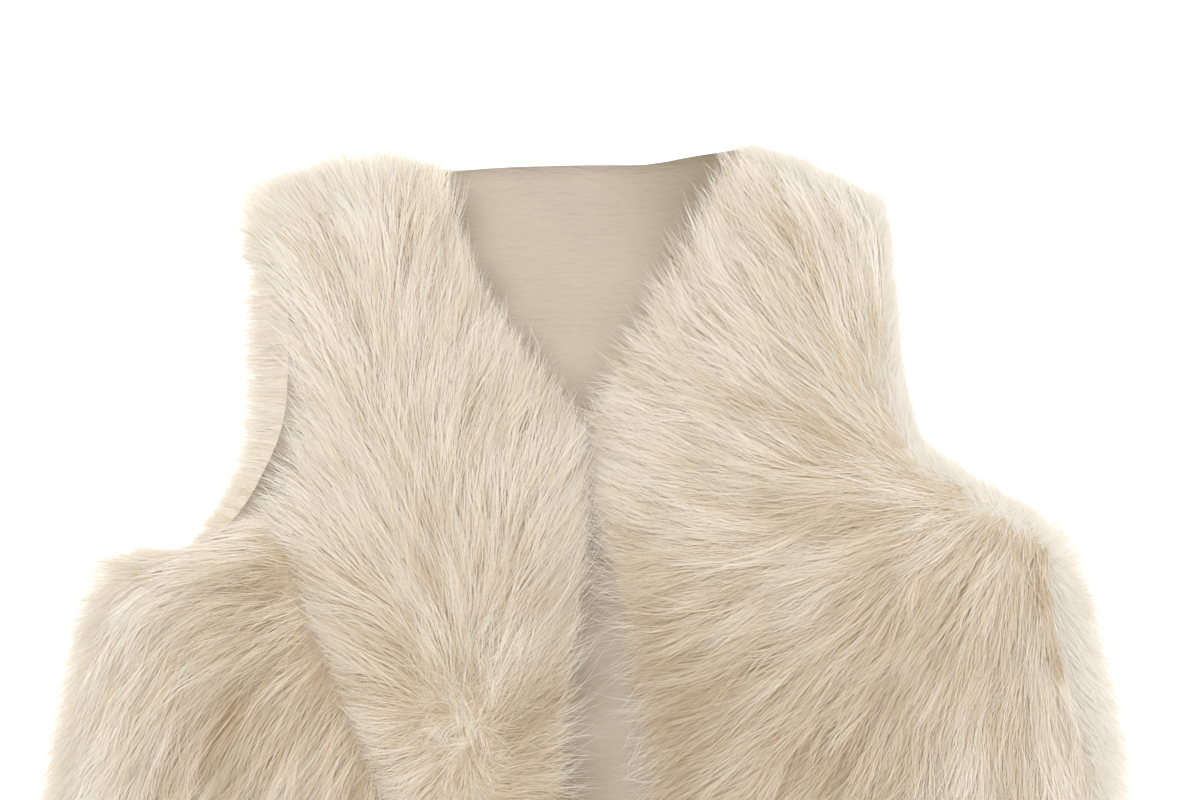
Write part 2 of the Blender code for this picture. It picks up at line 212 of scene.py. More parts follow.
class Outline:
    """A panel's surroundings on a fine grid: distance to its edge, negative inside, and the way out."""

    def __init__(self, loop, pad=48.0, step=1.6):
        self.low, self.step = loop.min(0) - pad, step
        n = np.ceil((loop.max(0) + pad - self.low) / step).astype(int) + 1
        xs, ys = (self.low[k] + step * np.arange(n[k]) for k in (0, 1))
        p = np.stack(np.meshgrid(xs, ys, indexing="ij"), -1).reshape(-1, 2)
        best, inside = np.full(len(p), 1e9), np.zeros(len(p), bool)
        for s, e in zip(loop, np.roll(loop, -1, 0)):
            d = e - s
            t = np.clip(((p - s) @ d) / (d @ d), 0, 1)
            best = np.minimum(best, ((p - s - t[:, None] * d) ** 2).sum(1))
            if s[1] != e[1]:
                cross = (s[1] > p[:, 1]) != (e[1] > p[:, 1])
                inside ^= cross & (p[:, 0] < s[0] + (p[:, 1] - s[1]) * d[0] / d[1])
        self.points = p.reshape(*n, 2)
        self.far = np.where(inside, -1, 1).reshape(n) * np.sqrt(best).reshape(n)
        self.way = np.stack(np.gradient(blurred(self.far, 1.5), step), -1)

    def read(self, table, p):
        """A table on this grid, between its points."""
        q = (p - self.low) / self.step
        i = np.clip(np.floor(q).astype(int), 0, np.array(table.shape[:2]) - 2)
        f = np.clip(q - i, 0, 1)
        fx, fy = (f[:, 0], f[:, 1]) if table.ndim == 2 else (f[:, :1], f[:, 1:])
        x, y = i[:, 0], i[:, 1]
        return ((1 - fx) * (1 - fy) * table[x, y] + fx * (1 - fy) * table[x + 1, y]
                + (1 - fx) * fy * table[x, y + 1] + fx * fy * table[x + 1, y + 1])

    def distance(self, p):
        return self.read(self.far, p)

    def out(self, p):
        return unit(self.read(self.way, p))


def unit(v):
    return v / np.maximum(1e-6, np.linalg.norm(v, axis=-1, keepdims=True))


def blurred(table, sigma):
    """Gaussian blur of a table, sigma in cells."""
    edge = int(3 * sigma) + 1
    wide = np.pad(table, edge, mode="edge")
    fx, fy = np.fft.fftfreq(wide.shape[0])[:, None], np.fft.rfftfreq(wide.shape[1])[None]
    soft = np.exp(-2 * (pi * sigma) ** 2 * (fx * fx + fy * fy))
    return np.fft.irfft2(np.fft.rfft2(wide) * soft, wide.shape)[edge:-edge, edge:-edge]


def ripples(rng, size, count=28):
    """A smooth random field over the plane, of unit spread, with waves about this long."""
    turn, tall = rng.random(count) * 2 * pi, (0.6 + rng.random(count)) * 2 * pi / size
    kx, ky, phase = tall * np.cos(turn), tall * np.sin(turn), rng.random(count) * 2 * pi

    def field(p):
        value = np.zeros(len(p))
        for a, b, c in zip(kx, ky, phase):
            value += np.cos(a * p[:, 0] + b * p[:, 1] + c)
        return value * (2 / count) ** 0.5
    return field


# ------------------------------------------------------------------ growing hair
def scatter(rng, grid, count):
    a, b, c, d = grid[:-1, :-1], grid[1:, :-1], grid[1:, 1:], grid[:-1, 1:]
    ac, db = c - a, d - b
    area = 0.5 * np.abs(ac[..., 0] * db[..., 1] - ac[..., 1] * db[..., 0]).ravel()
    cell = np.searchsorted(np.cumsum(area), rng.random(count) * area.sum())
    cell = np.minimum(cell, len(area) - 1)
    u, v = rng.random((2, count, 1))
    a, b, c, d = (q.reshape(-1, 2)[cell] for q in (a, b, c, d))
    return (1 - u) * (1 - v) * a + (1 - u) * v * b + u * v * c + u * (1 - v) * d


def area_of(grid):
    x, y = rim(grid).T
    return 0.5 * abs(np.dot(x, np.roll(y, 1)) - np.dot(y, np.roll(x, 1)))


def gather(pts, target, strength, power):
    s = np.linspace(0, 1, pts.shape[1]) ** power
    return pts + (strength[:, None] * s)[..., None] * (target - pts)


def trim(pts, outline, allowed, least=0.25):
    """Shortens what reaches further past the panel's edge than it may."""
    for _ in range(2):
        tip, root = pts[:, -1, :2], pts[:, 0, :2]
        over = np.maximum(0, outline.distance(tip) - allowed)
        run = np.maximum(1.0, np.hypot(*(tip - root).T))
        f = np.clip(1 - over / run, least, 1)
        pts = pts[:, :1] + (pts - pts[:, :1]) * f[:, None, None]
    return pts


def ribbons(pts, width, roll, column, facing, soft=0.32, root=0.01):
    """Flat tapered ribbons along the strands, as arrays for one mesh.

    facing is the way the coat's surface looks there: the ribbons lie on it, give or take their
    roll, and are shaded mostly as it is, as fine hair is.
    """
    n, k = pts.shape[0], pts.shape[1] - 1
    tangent = unit(np.gradient(pts, axis=1))
    face = np.broadcast_to(facing if facing.ndim == 3 else facing[:, None], tangent.shape)
    side = unit(np.cross(tangent, face))
    upward = np.cross(side, tangent)
    roll = np.clip(roll, -1.2, 1.2)[:, None, None]
    side, upward = (side * np.cos(roll) + upward * np.sin(roll),
                    upward * np.cos(roll) - side * np.sin(roll))
    own = np.broadcast_to(soft, n)[:, None, None]
    normal = unit(face * (1 - own) + upward * own)
    s = np.linspace(0, 1, k + 1)
    taper = 0.5 * (0.85 + 0.6 * s) * (1 - s) ** 0.55
    off = side * (width[:, None] * taper)[..., None]
    verts, normals = np.empty((2, n, 2 * k + 1, 3))
    verts[:, 0:2 * k:2] = pts[:, :k] - off[:, :k]
    verts[:, 1:2 * k:2] = pts[:, :k] + off[:, :k]
    verts[:, 2 * k] = pts[:, k]
    normals[:, 0:2 * k:2] = normals[:, 1:2 * k:2] = normal[:, :k]
    normals[:, 2 * k] = normal[:, k]
    verts[..., 2] = np.clip(verts[..., 2], 0.6, HIGHEST)
    loop = []
    for j in range(k - 1):
        loop += [2 * j, 2 * j + 1, 2 * j + 3, 2 * j + 2]
    loop += [2 * k - 2, 2 * k - 1, 2 * k]
    sizes = [4] * (k - 1) + [3]
    loop = np.array(loop)
    u = np.where(loop == 2 * k, 0.5, np.where(loop % 2 == 0, 0.15, 0.85))
    start = np.broadcast_to(root, n)[:, None]
    v = start + (0.99 - start) * (loop // 2) / k
    uv = np.empty((n, len(loop), 2))
    uv[..., 0] = (column[:, None] + u) / 256
    uv[..., 1] = v
    loops = loop[None] + (np.arange(n) * (2 * k + 1))[:, None]
    return (verts.reshape(-1, 3), loops.ravel(), np.tile(sizes, n), uv.reshape(-1, 2),
            normals.reshape(-1, 3))


def mesh_from(name, verts, loops, sizes, uv=None, normals=None):
    """A mesh object from arrays in mm in the cut's frame."""
    mesh = bpy.data.meshes.new(name)
    co = np.array(verts, dtype=np.float64)
    co[:, :2] += SHIFT
    mesh.vertices.add(len(co))
    mesh.vertices.foreach_set("co", (co * 0.001).astype(np.float32).ravel())
    mesh.loops.add(len(loops))
    mesh.loops.foreach_set("vertex_index", np.asarray(loops, np.int32))
    mesh.polygons.add(len(sizes))
    starts = np.concatenate(([0], np.cumsum(sizes)[:-1])).astype(np.int32)
    mesh.polygons.foreach_set("loop_start", starts)
    mesh.polygons.foreach_set("use_smooth", np.ones(len(sizes), bool))
    if uv is not None:
        layer = mesh.uv_layers.new(name="OFBake")
        layer.data.foreach_set("uv", np.asarray(uv, np.float32).ravel())
    mesh.update(calc_edges=True)
    mesh.validate()
    if normals is not None:
        mesh.normals_split_custom_set_from_vertices(normals.astype(np.float32))
    thing = bpy.data.objects.new(name, mesh)
    bpy.context.scene.collection.objects.link(thing)
    return thing


def hair_object(name, *batches):
    """Several batches of ribbons as one mesh."""
    base, moved = 0, []
    for verts, loops, *_ in batches:
        moved.append(loops + base)
        base += len(verts)
    verts, _, sizes, uv, normals = (np.concatenate(part) for part in zip(*batches))
    return mesh_from(name, verts, np.concatenate(moved), sizes, uv, normals)


# ------------------------------------------------------------------ which way the hair lies
UP, DOWN = np.array((0.0, 0.0, 1.0)), np.array((0.0, 0.0, -1.0))
HAIR_LONG, WOOL_LONG, LOCK_AREA = 60.0, 27.0, 15.0

# at each level down the panel, places across it and the bearing of the tips there, in degrees
# anticlockwise from +X
Level = namedtuple("Level", "place drop bearings")
LAY_FRONT_L = (
    Level("shoulder", 11, ((69, 126), (96, 122), (133, 119), (164, 112))),
    Level("upper neck", 53, ((46, 116), (69, 121), (112, 128), (154, 117), (179, 100))),
    Level("upper chest", 90, ((27, 144), (59, 131), (96, 132), (133, 132), (158, 117), (182, 101))),
    Level("chest", 129, ((34, 158), (69, 150), (112, 139), (140, 139), (164, 121), (190, 100))),
    Level("break", 166, ((9, 160), (48, 157), (91, 155), (133, 156), (174, 146), (203, 130))),
    Level("armhole curve", 202, ((9, 163), (48, 161), (91, 166), (133, 173), (174, 178), (214, 176), (237, 160))),
    Level("underarm", 232, ((16, 161), (59, 170), (96, 183), (133, 193), (174, 208), (216, 221), (251, 234), (280, 262))),
    Level("ribs", 270, ((27, 183), (71, 200), (121, 203), (164, 221), (208, 233), (245, 247), (280, 267), (304, 288))),
    Level("waist", 319, ((27, 206), (71, 199), (121, 214), (164, 222), (208, 239), (257, 248), (282, 272), (310, 289))),
    Level("hip", 369, ((34, 209), (84, 214), (133, 228), (183, 242), (232, 262), (280, 274), (313, 286))),
    Level("below hip", 431, ((59, 232), (133, 246), (226, 266), (307, 272))),
    Level("skirt", 518, ((71, 256), (195, 266), (307, 270))),
    Level("hem", 598, ((71, 266), (195, 268), (307, 270))),
)
LAY_FRONT_R = (
    Level("shoulder", 11, ((-163, 145), (-143, 122), (-121, 92), (-100, 66))),
    Level("upper neck", 53, ((-175, 140), (-163, 120), (-143, 100), (-121, 94), (-100, 78), (-82, 68))),
    Level("upper chest", 95, ((-175, 140), (-163, 120), (-143, 101), (-121, 90), (-90, 71), (-58, 68))),
    Level("chest", 146, ((-175, 148), (-163, 132), (-143, 114), (-115, 94), (-90, 78), (-53, 71), (-22, 64))),
    Level("armhole curve", 200, ((-179, 152), (-163, 130), (-142, 125), (-115, 107), (-90, 90), (-58, 82), (-34, 65), (-9, 56))),
    Level("seam begins", 236, ((-180, 158), (-158, 137), (-133, 134), (-100, 112), (-71, 92), (-46, 74), (-16, 61))),
    Level("ribs", 276, ((-163, 167), (-133, 154), (-100, 122), (-79, 101), (-58, 70), (-34, 52), (-11, 52))),
    Level("over the whorl", 313, ((-146, 160), (-115, 155), (-90, 125), (-74, 98), (-58, 62), (-34, 46), (-11, 40))),
    Level("whorl", 349, ((-136, 175), (-102, 188), (-53, 34), (-28, 24), (-12, 16))),
    Level("hip", 378, ((-127, 190), (-100, 222), (-81, 250), (-56, 15), (-22, 3))),
    Level("below hip", 425, ((-118, 228), (-90, 255), (-65, 275), (-28, 320))),
    Level("skirt", 518, ((-102, 258), (-65, 270), (-34, 285))),
    Level("hem", 598, ((-102, 266), (-65, 270), (-28, 274))),
)
LAY_SIDE_R = (
    Level("armhole", 242, ((-270, 196), (-225, 181), (-192, 172))),
    Level("ribs", 265, ((-282, 222), (-245, 208), (-203, 188), (-182, 194))),
    Level("waist", 298, ((-290, 245), (-267, 246), (-236, 220), (-195, 214), (-170, 219))),
    Level("hip", 335, ((-298, 248), (-245, 242), (-208, 235), (-161, 232))),
    Level("below hip", 375, ((-301, 248), (-239, 249), (-183, 241), (-152, 246))),
    Level("skirt", 456, ((-301, 255), (-177, 256))),
    Level("hem", 592, ((-294, 265), (-164, 266))),
)

# where the coat is warmer (below nought) or paler than the rest: broad tan patches that are the pelt's own, small marks
# of painted shade in creases and under locks' tips, and painted light on the ridges beside them
Tint = namedtuple("Tint", "place across drop spread amount")
TINTS = (
    Tint("top of the side panel", -205, 266, 36, -0.34),
    Tint("side panel by the seam", -190, 350, 62, -0.27),
    # painted shade along the side panel's crease and under the first wave's tips, and painted light on the ridge beside
    # the crease that faces the key light
    Tint("by the armhole", -206, 242, 7, -0.20), Tint("under the first wave", -198, 267, 10, -0.18),
    Tint("beside the crease", -213, 281, 9, 0.22), Tint("beside the crease, low", -208, 308, 12, 0.20),
    Tint("left of the crease", -240, 313, 18, -0.12), Tint("side panel, outer", -262, 330, 44, -0.10), Tint("underarm", -281, 262, 16, 0.08),
    # painted shade where the tufts' tips shade what lies below them, over the roots' own tan; the tufts themselves
    # paler
    Tint("tuft roots by the armhole", -181, 242, 7, -0.18), Tint("tuft roots, upper", -210, 264, 7, -0.28),
    Tint("tuft roots, middle", -233, 274, 7, -0.26), Tint("tuft roots, lower", -233, 293, 7, -0.18),
    Tint("tuft roots, low", -226, 316, 8, -0.14), Tint("tuft roots, outer", -262, 258, 6, -0.24),
    Tint("tuft, upper", -216, 254, 6, 0.18), Tint("tuft, lower", -222, 284, 6, 0.20),
    Tint("side panel, low", -200, 470, 110, -0.24),
    Tint("left of the whorl", -118, 300, 42, -0.24),
    Tint("whorl", -71, 335, 28, -0.10),
    Tint("left front, low", 120, 320, 100, -0.22),
    Tint("left front, lower", 150, 430, 130, -0.20),
    Tint("left front, far", 245, 330, 50, -0.16),
    Tint("parting on the left shoulder", 118, 26, 9, -0.44),
    Tint("streak by the armhole", 160, 64, 8, -0.24),
    Tint("streak on the chest", 147, 92, 8, -0.26),
    Tint("streak below it", 151, 110, 7, -0.18), Tint("streak above the break", 163, 130, 7, -0.16),
    Tint("streak at the break", 141, 158, 9, -0.24),
    Tint("streak in the middle", 116, 128, 8, -0.17),
    Tint("streak on the right chest", -131, 66, 10, -0.20),
    Tint("streak on the right breast", -118, 150, 14, -0.10),
    Tint("streak over the whorl", -80, 296, 9, -0.14),
    Tint("right shoulder", -140, 20, 60, 0.10),
    Tint("left shoulder", 170, 40, 40, 0.12),
    Tint("right side", -310, 330, 30, 0.02),
    Tint("left side", 312, 330, 36, 0.06),
    # painted shade in the left underarm crease, and painted light on the wool outside it
    Tint("left underarm crease", 272, 262, 4, -0.22), Tint("crease, middle", 277, 280, 4.5, -0.34),
    Tint("crease, low", 282, 296, 4.5, -0.34), Tint("crease, foot", 288, 310, 4, -0.28),
    Tint("outside the crease", 288, 244, 13, 0.14), Tint("outside the crease, low", 297, 280, 14, 0.12),
)

# how far the coat hangs over its panel's edges: to the left and right by drop, up and down; and how much
# paler it is at its outer edge, painted light for the glow through the thin tips there
Coat = namedtuple("Coat", "lay whorl tangle opens reach_left reach_right reach_up reach_down pale")
COATS = {
    "front_L": Coat(LAY_FRONT_L, WHORL_L, 4, -1, ((0, 24), (90, 27), (140, 24), (172, 10), (226, 9), (248, 3), (275, 4), (310, 13), (400, 17)),
                    ((0, 20), (60, 23), (100, 28), (150, 27), (185, 20), (200, 21), (222, 24), (240, 6), (305, 4), (345, 25), (600, 30)),
                    27, 24, 0.32),
    "front_R": Coat(LAY_FRONT_R, WHORL_R, 10, 1,
                    ((0, 31), (60, 34), (85, 39), (108, 35), (124, 27), (150, 27), (163, 42), (182, 44), (195, 36), (212, 29), (260, 8)),
                    ((0, 6), (60, 10), (140, 15), (185, 11), (222, 9), (246, 5), (285, 7), (320, 12), (400, 12)), 26, 22, 0.20),
    "side_R": Coat(LAY_SIDE_R, WHORL_R, 1, 0, ((240, 24), (270, 34), (300, 37), (600, 34)), ((0, 2),), 10, 22, 0.20),
}
# how far outside a front's edge its hair still roots, by drop, on the wool that stands out from under it
Wider = namedtuple("Wider", "column rows")
WIDER = {
    "front_L": Wider(-1, ((30, 5), (60, 13), (90, 18), (133, 20), (166, 15), (192, 8), (216, 19), (236, 21), (244, 11), (252, 3),
                          (310, 2), (360, 14), (600, 14))),
    "side_R": Wider(0, ((252, 8), (275, 17), (300, 22), (400, 22), (600, 20))),
}


def widened(name, grid):
    """A panel's grid with its outer edge moved out to where hair still roots."""
    if name not in WIDER:
        return grid
    column, rows = WIDER[name]
    edge = grid[:, column]
    run = unit(np.gradient(edge, axis=0)) * (1 if column else -1)
    out = np.stack((-run[:, 1], run[:, 0]), 1) * np.interp(-edge[:, 1], *np.transpose(rows))[:, None]
    more = [(edge + out * share)[:, None] for share in (0.5, 1.0)]
    return np.concatenate([grid] + more if column else more[::-1] + [grid], axis=1)


class Lay:
    """Which way a panel's hair lies, and the streams that it gathers into."""

    def __init__(self, outline, levels, rng):
        self.outline = outline
        way = np.zeros(outline.points.shape)
        for level in levels:
            for across, bearing in level.bearings:
                far = ((outline.points - (across, -level.drop)) ** 2).sum(-1)
                weight = 1 / (far + 12.0 ** 2) ** 2
                way += weight[..., None] * (np.cos(radians(bearing)), np.sin(radians(bearing)))
        self.way = unit(way)
        self.locks, self.locks_rise = self.streams(rng, 2.8, 32)
        self.wisps, self.wisps_rise = self.streams(rng, 0.85, 22)

    def streams(self, rng, width, length):
        """Random ridges of this half-width, drawn out along the lay, and their slope."""
        step = self.outline.step
        noise = blurred(rng.normal(size=self.way.shape[:2]), width / step)
        total, start = noise.copy(), self.outline.points.reshape(-1, 2)
        count = int(length / step)
        for sign in (1, -1):
            p = start
            for k in range(count):
                p = p + sign * step * unit(self.outline.read(self.way, p))
                total += (1 - k / count) * self.outline.read(noise, p).reshape(total.shape)
        total = (total - total.mean()) / total.std()
        return total, np.stack(np.gradient(total, step), -1)

    def toward(self, p):
        return unit(self.outline.read(self.way, p))


def tint_at(p):
    total = np.zeros(len(p))
    for tint in TINTS:
        far = (p[:, 0] - tint.across) ** 2 + (p[:, 1] + tint.drop) ** 2
        total += tint.amount * np.exp(-far / tint.spread ** 2)
    return total


# the main creases of the coat: a line of places, how wide the trough is to each side and how deep
Fold = namedtuple("Fold", "place line wide deep")
FOLDS = (
    Fold("side panel", ((-207, 238), (-213, 262), (-222, 298), (-223, 350), (-233, 430)), 8, 5.0),
    Fold("under the first wave", ((-243, 274), (-226, 269), (-205, 268), (-186, 262)), 6, 3.5),
    Fold("right underarm", ((-255, 246), (-261, 262), (-266, 284)), 6, 3.0),
    Fold("left underarm", ((268, 214), (272, 262), (280, 288), (288, 314)), 5, 5.0),
    Fold("over the whorl", ((-81, 286), (-76, 312), (-71, 332)), 5, 4.0),
    Fold("under the whorl", ((-76, 356), (-80, 382), (-82, 420)), 6, 3.0),
    Fold("left shoulder", ((108, 18), (118, 30), (128, 46)), 6, 3.0),
    Fold("left chest", ((138, 70), (148, 94), (152, 116)), 7, 3.0),
    Fold("left breast", ((96, 146), (120, 152), (146, 164)), 7, 3.0),
)


def sunk(p):
    """How far the coat sinks into its main creases, and the slope of its surface there."""
    depth, slope = np.zeros(len(p)), np.zeros((len(p), 2))
    for fold in FOLDS:
        knots = np.array([(across, -drop) for across, drop in fold.line], float)
        best, off = np.full(len(p), 1e9), np.zeros((len(p), 2))
        for s, e in zip(knots, knots[1:]):
            t = np.clip(((p - s) @ (e - s)) / ((e - s) @ (e - s)), 0, 1)
            away = p - s - t[:, None] * (e - s)
            far = (away ** 2).sum(1)
            closer = far < best
            best[closer], off[closer] = far[closer], away[closer]
        deep = fold.deep * np.exp(-best / fold.wide ** 2)
        depth += deep
        slope += off * (2 * deep / fold.wide ** 2)[:, None]
    return depth, slope


def nearest(p, seeds):
    tree = KDTree(len(seeds))
    for k, (x, y) in enumerate(seeds):
        tree.insert((x, y, 0), k)
    tree.balance()
    return np.array([tree.find((x, y, 0))[1] for x, y in p])


def coat(name, grid, lay, rng, density, under_density):
    """The hair of one front panel: pointed locks that overlap, over a short under-wool."""
    plan, outline = COATS[name], lay.outline
    area = area_of(grid)
    sway, heave, full, muss = (ripples(rng, size) for size in (60, 42, 70, 12))

    def bound(p):
        out = outline.out(p)
        level = out[:, 1] ** 2
        across = np.where(out[:, 0] < 0, *(np.interp(-p[:, 1], *np.transpose(rows))
                                           for rows in (plan.reach_left, plan.reach_right)))
        along = np.where(out[:, 1] > 0, plan.reach_up, plan.reach_down)
        return across * (1 - level) + along * level

    def opening(p):
        """One at the opening's edge, below the break, falling to nought further in."""
        faces = np.maximum(0, outline.out(p)[:, 0] * plan.opens)
        return faces * ease(-32, 4, outline.distance(p)) * ease(195, 260, -p[:, 1])

    def tangle(p):
        return np.exp(-((p - plan.whorl) ** 2).sum(1) / plan.tangle ** 2)

    def stir(p):
        return np.exp(-((p - plan.whorl) ** 2).sum(1) / (3.5 * plan.tangle) ** 2)

    def grow(p, segs, length, up0, up1, aside, bend):
        """Strands from their roots, with the lay."""
        pts = np.empty((len(p), segs + 1, 3))
        beyond = np.clip(outline.distance(p) / 30, 0, 0.97)
        pts[:, 0] = np.column_stack((p, front_top(p[:, 0], p[:, 1]) + 0.2 - 13 * (1 - np.sqrt(1 - beyond ** 2))))
        up0 = np.clip(up0, 0.1, 1.25)
        for k in range(segs):
            s = (k + 0.5) / segs
            d = lay.toward(pts[:, k, :2])
            turn = np.arctan2(d[:, 1], d[:, 0]) + aside + bend * (s - 0.3)
            lift = up1 + (up0 - up1) * (1 - s) ** 1.6
            pts[:, k + 1] = pts[:, k] + (length / segs)[:, None] * np.stack(
                (np.cos(lift) * np.cos(turn), np.cos(lift) * np.sin(turn), np.sin(lift)), 1)
        for k in range(1, segs + 1):
            here = pts[:, k, :2]
            pts[:, k, 2] -= (sunk(here)[0] + 9 * ease(0, 26, outline.distance(here))) * k / segs
        return pts

    # the locks, each a seed and the strand that its hairs draw towards
    seeds = scatter(rng, grid, int(area / LOCK_AREA))
    any_of = lambda: rng.normal(size=len(seeds))
    near, ridge = tangle(seeds), outline.read(lay.locks, seeds)
    past = np.clip(0.6 + 0.25 * any_of(), 0.15, 1.1)
    into = opening(seeds)
    outer = ease(-6, 14, outline.distance(seeds))
    hem = ease(-45, 5, outline.distance(seeds)) * np.maximum(0, -outline.out(seeds)[:, 1])
    droop = 6 * ease(-45, -5, outline.distance(seeds)) + 14 * into + 6 * outer + 24 * hem
    length = HAIR_LONG * np.clip(1 + 0.08 * full(seeds) + 0.17 * any_of(), 0.55, 1.35) * (1 - 0.25 * near)
    up0 = np.radians(50 + 5 * heave(seeds) + 4 * ridge + 6 * any_of() + 10 * near - 22 * outer)
    up1 = np.radians(2 + 3 * heave(seeds) + 4 * any_of() - droop)
    aside = radians(7) * any_of() + radians(5) * sway(seeds) + radians(22) * stir(seeds) * muss(seeds) + radians(80) * near * muss(seeds)
    bend = radians(16) * any_of()
    tone = 0.05 * any_of() + 0.10 * ridge
    spine = grow(seeds, 3, length, up0, up1, aside, bend)

    count = int(area * density)
    p = scatter(rng, grid, count)
    if name in WIDER:
        far = np.interp(-p[:, 1], *np.transpose(WIDER[name].rows)) + 0.1
        p = p[rng.random(count) > 0.9 * ease(0.55, 1.0, outline.distance(p) / far)]
    count = len(p)
    own = nearest(p, seeds)
    loose = rng.random(count) < 0.16
    a_bit = lambda: rng.normal(size=count)
    pts = grow(p, 3, length[own] * np.clip(1 + 0.12 * a_bit(), 0.6, 1.35),
               up0[own] + radians(5) * a_bit(), up1[own] + radians(4) * a_bit(),
               aside[own] + np.where(loose, radians(15), radians(5)) * a_bit(), bend[own] + radians(12) * a_bit())
    pts = gather(pts, spine[own], np.where(loose, 0.05, 0.15 + 0.5 * rng.random(count)), 1.3)
    for k in range(1, 4):
        here = pts[:, k, :2]
        d = lay.toward(here)
        across = np.stack((-d[:, 1], d[:, 0]), 1)
        wide = (outline.read(lay.locks_rise, here) * across).sum(1)
        fine = (outline.read(lay.wisps_rise, here) * across).sum(1)
        pull = np.clip(1.0 * wide, -1.2, 1.2) + np.clip(0.3 * fine, -0.6, 0.6)
        pts[:, k, :2] += across * (pull * (k / 3) ** 1.1 * ~loose)[:, None]
    spread = 0.9 + 0.9 * opening(p)
    allowed = bound(pts[:, -1, :2]) * past[own] * (0.8 + spread * (rng.random(count) - 0.5))
    outside = plan.opens * outline.out(p)[:, 0] <= 0
    allowed += 14 * rng.random(count) ** 3 * (outside & (bound(pts[:, -1, :2]) < 8))
    allowed = np.where(outside, np.minimum(allowed, 0.78 * np.abs(bound(pts[:, -1, :2])) + 4 * rng.random(count)), allowed)
    allowed = np.maximum(allowed, outline.distance(p) + 4 * rng.random(count))
    pts = trim(pts, outline, allowed)
    # a lock is round, so its hairs look away from its ridge
    middle = pts[:, 2, :2]
    d = lay.toward(middle)
    across = np.stack((-d[:, 1], d[:, 0]), 1)
    border = ease(-14, 20, outline.distance(pts[:, 3, :2])) * outside
    sink, fall = sunk(middle)
    lean = 0.12 * np.clip(((middle - spine[own][:, 2, :2]) * across).sum(1) / 3.0, -1.2, 1.2)
    slope = (outline.read(lay.locks_rise, middle) * across).sum(1)
    round_off = 0.65 * opening(middle) + 0.25 * ease(0, 26, outline.distance(middle))
    facing = np.column_stack((across * ((lean - np.clip(0.13 * slope, -0.14, 0.14)) * (1 - 0.3 * border))[:, None]
                              + outline.out(middle) * round_off[:, None] - fall, np.ones(count)))
    # painted shade: darker by the opening's edge, as in the gap's shadow, and at the bottom of the creases; painted
    # light: paler at the outer edge, for the glow through the thin tips
    shade = (0.62 + (tone[own] + 0.05 * outline.read(lay.wisps, middle) + 0.08 * a_bit()) * (1 - 0.2 * border)
             + tint_at(pts[:, 3, :2]) - 0.34 * opening(pts[:, 3, :2]) + plan.pale * border - 0.045 * sink)
    long_hair = (pts, 0.28 + 0.16 * rng.random(count), np.radians(20 + 24 * ease(400, 450, -p[:, 1])) * a_bit(),
                 np.clip(256 * shade, 0, 255).astype(int), unit(facing), np.full(count, 0.32),
                 np.minimum(0.6, 0.01 + 0.45 * np.exp(-((p - plan.whorl) ** 2).sum(1) / 26 ** 2)
                            + 0.45 * ease(-24, 6, outline.distance(p)) * outside))

    count = int(area * under_density)
    p = scatter(rng, grid, count)
    a_bit = lambda: rng.normal(size=count)
    pts = grow(p, 2, WOOL_LONG * np.clip(1 + 0.15 * a_bit(), 0.6, 1.4), radians(60) + radians(8) * a_bit(),
               radians(18) + radians(5) * a_bit(), radians(16) * a_bit() + radians(75) * tangle(p) * muss(p),
               radians(16) * a_bit())
    pts = trim(pts, outline, bound(pts[:, -1, :2]) * (0.05 + 0.7 * rng.random(count)))
    shade = 0.20 + 0.3 * rng.random(count) + 0.7 * tint_at(p)
    wool = (pts, 0.65 + 0.35 * rng.random(count), radians(40) * a_bit(),
            np.clip(256 * shade, 0, 255).astype(int), np.broadcast_to(UP, (count, 3)))
    if not plan.opens:
        return long_hair, wool, None

    # fine single hairs over the neck and the opening
    edge = grid[:, 0] if plan.opens < 0 else grid[:, -1]
    run = np.concatenate(([0], np.cumsum(np.hypot(*np.diff(edge, axis=0).T))))
    count = int(run[-1] * density * 10)
    t = rng.random(count) * run[-1]
    p = np.stack([np.interp(t, run, edge[:, k]) for k in (0, 1)], 1)
    p = p - outline.out(p) * (2 + 26 * rng.random(count))[:, None]
    a_bit = lambda: rng.normal(size=count)
    pts = grow(p, 3, 44 + 30 * rng.random(count), radians(50) + radians(6) * a_bit(), radians(3) + radians(6) * a_bit(),
               radians(16) * a_bit(), radians(30) * a_bit())
    over = 10 + 24 * ease(195, 250, -p[:, 1])
    pts = trim(pts, outline, over * (0.05 + 1.05 * rng.random(count) ** 1.3))
    shade = 0.62 + 0.10 * ease(195, 250, -p[:, 1]) + 0.09 * a_bit() + 0.5 * tint_at(p)
    stray = (pts, 0.15 + 0.10 * rng.random(count), radians(28) * a_bit(),
             np.clip(256 * shade, 0, 255).astype(int), np.broadcast_to(UP, (count, 3)))
    return long_hair, wool, stray


def chosen(strands, keep):
    return ribbons(*(part[keep] for part in strands))
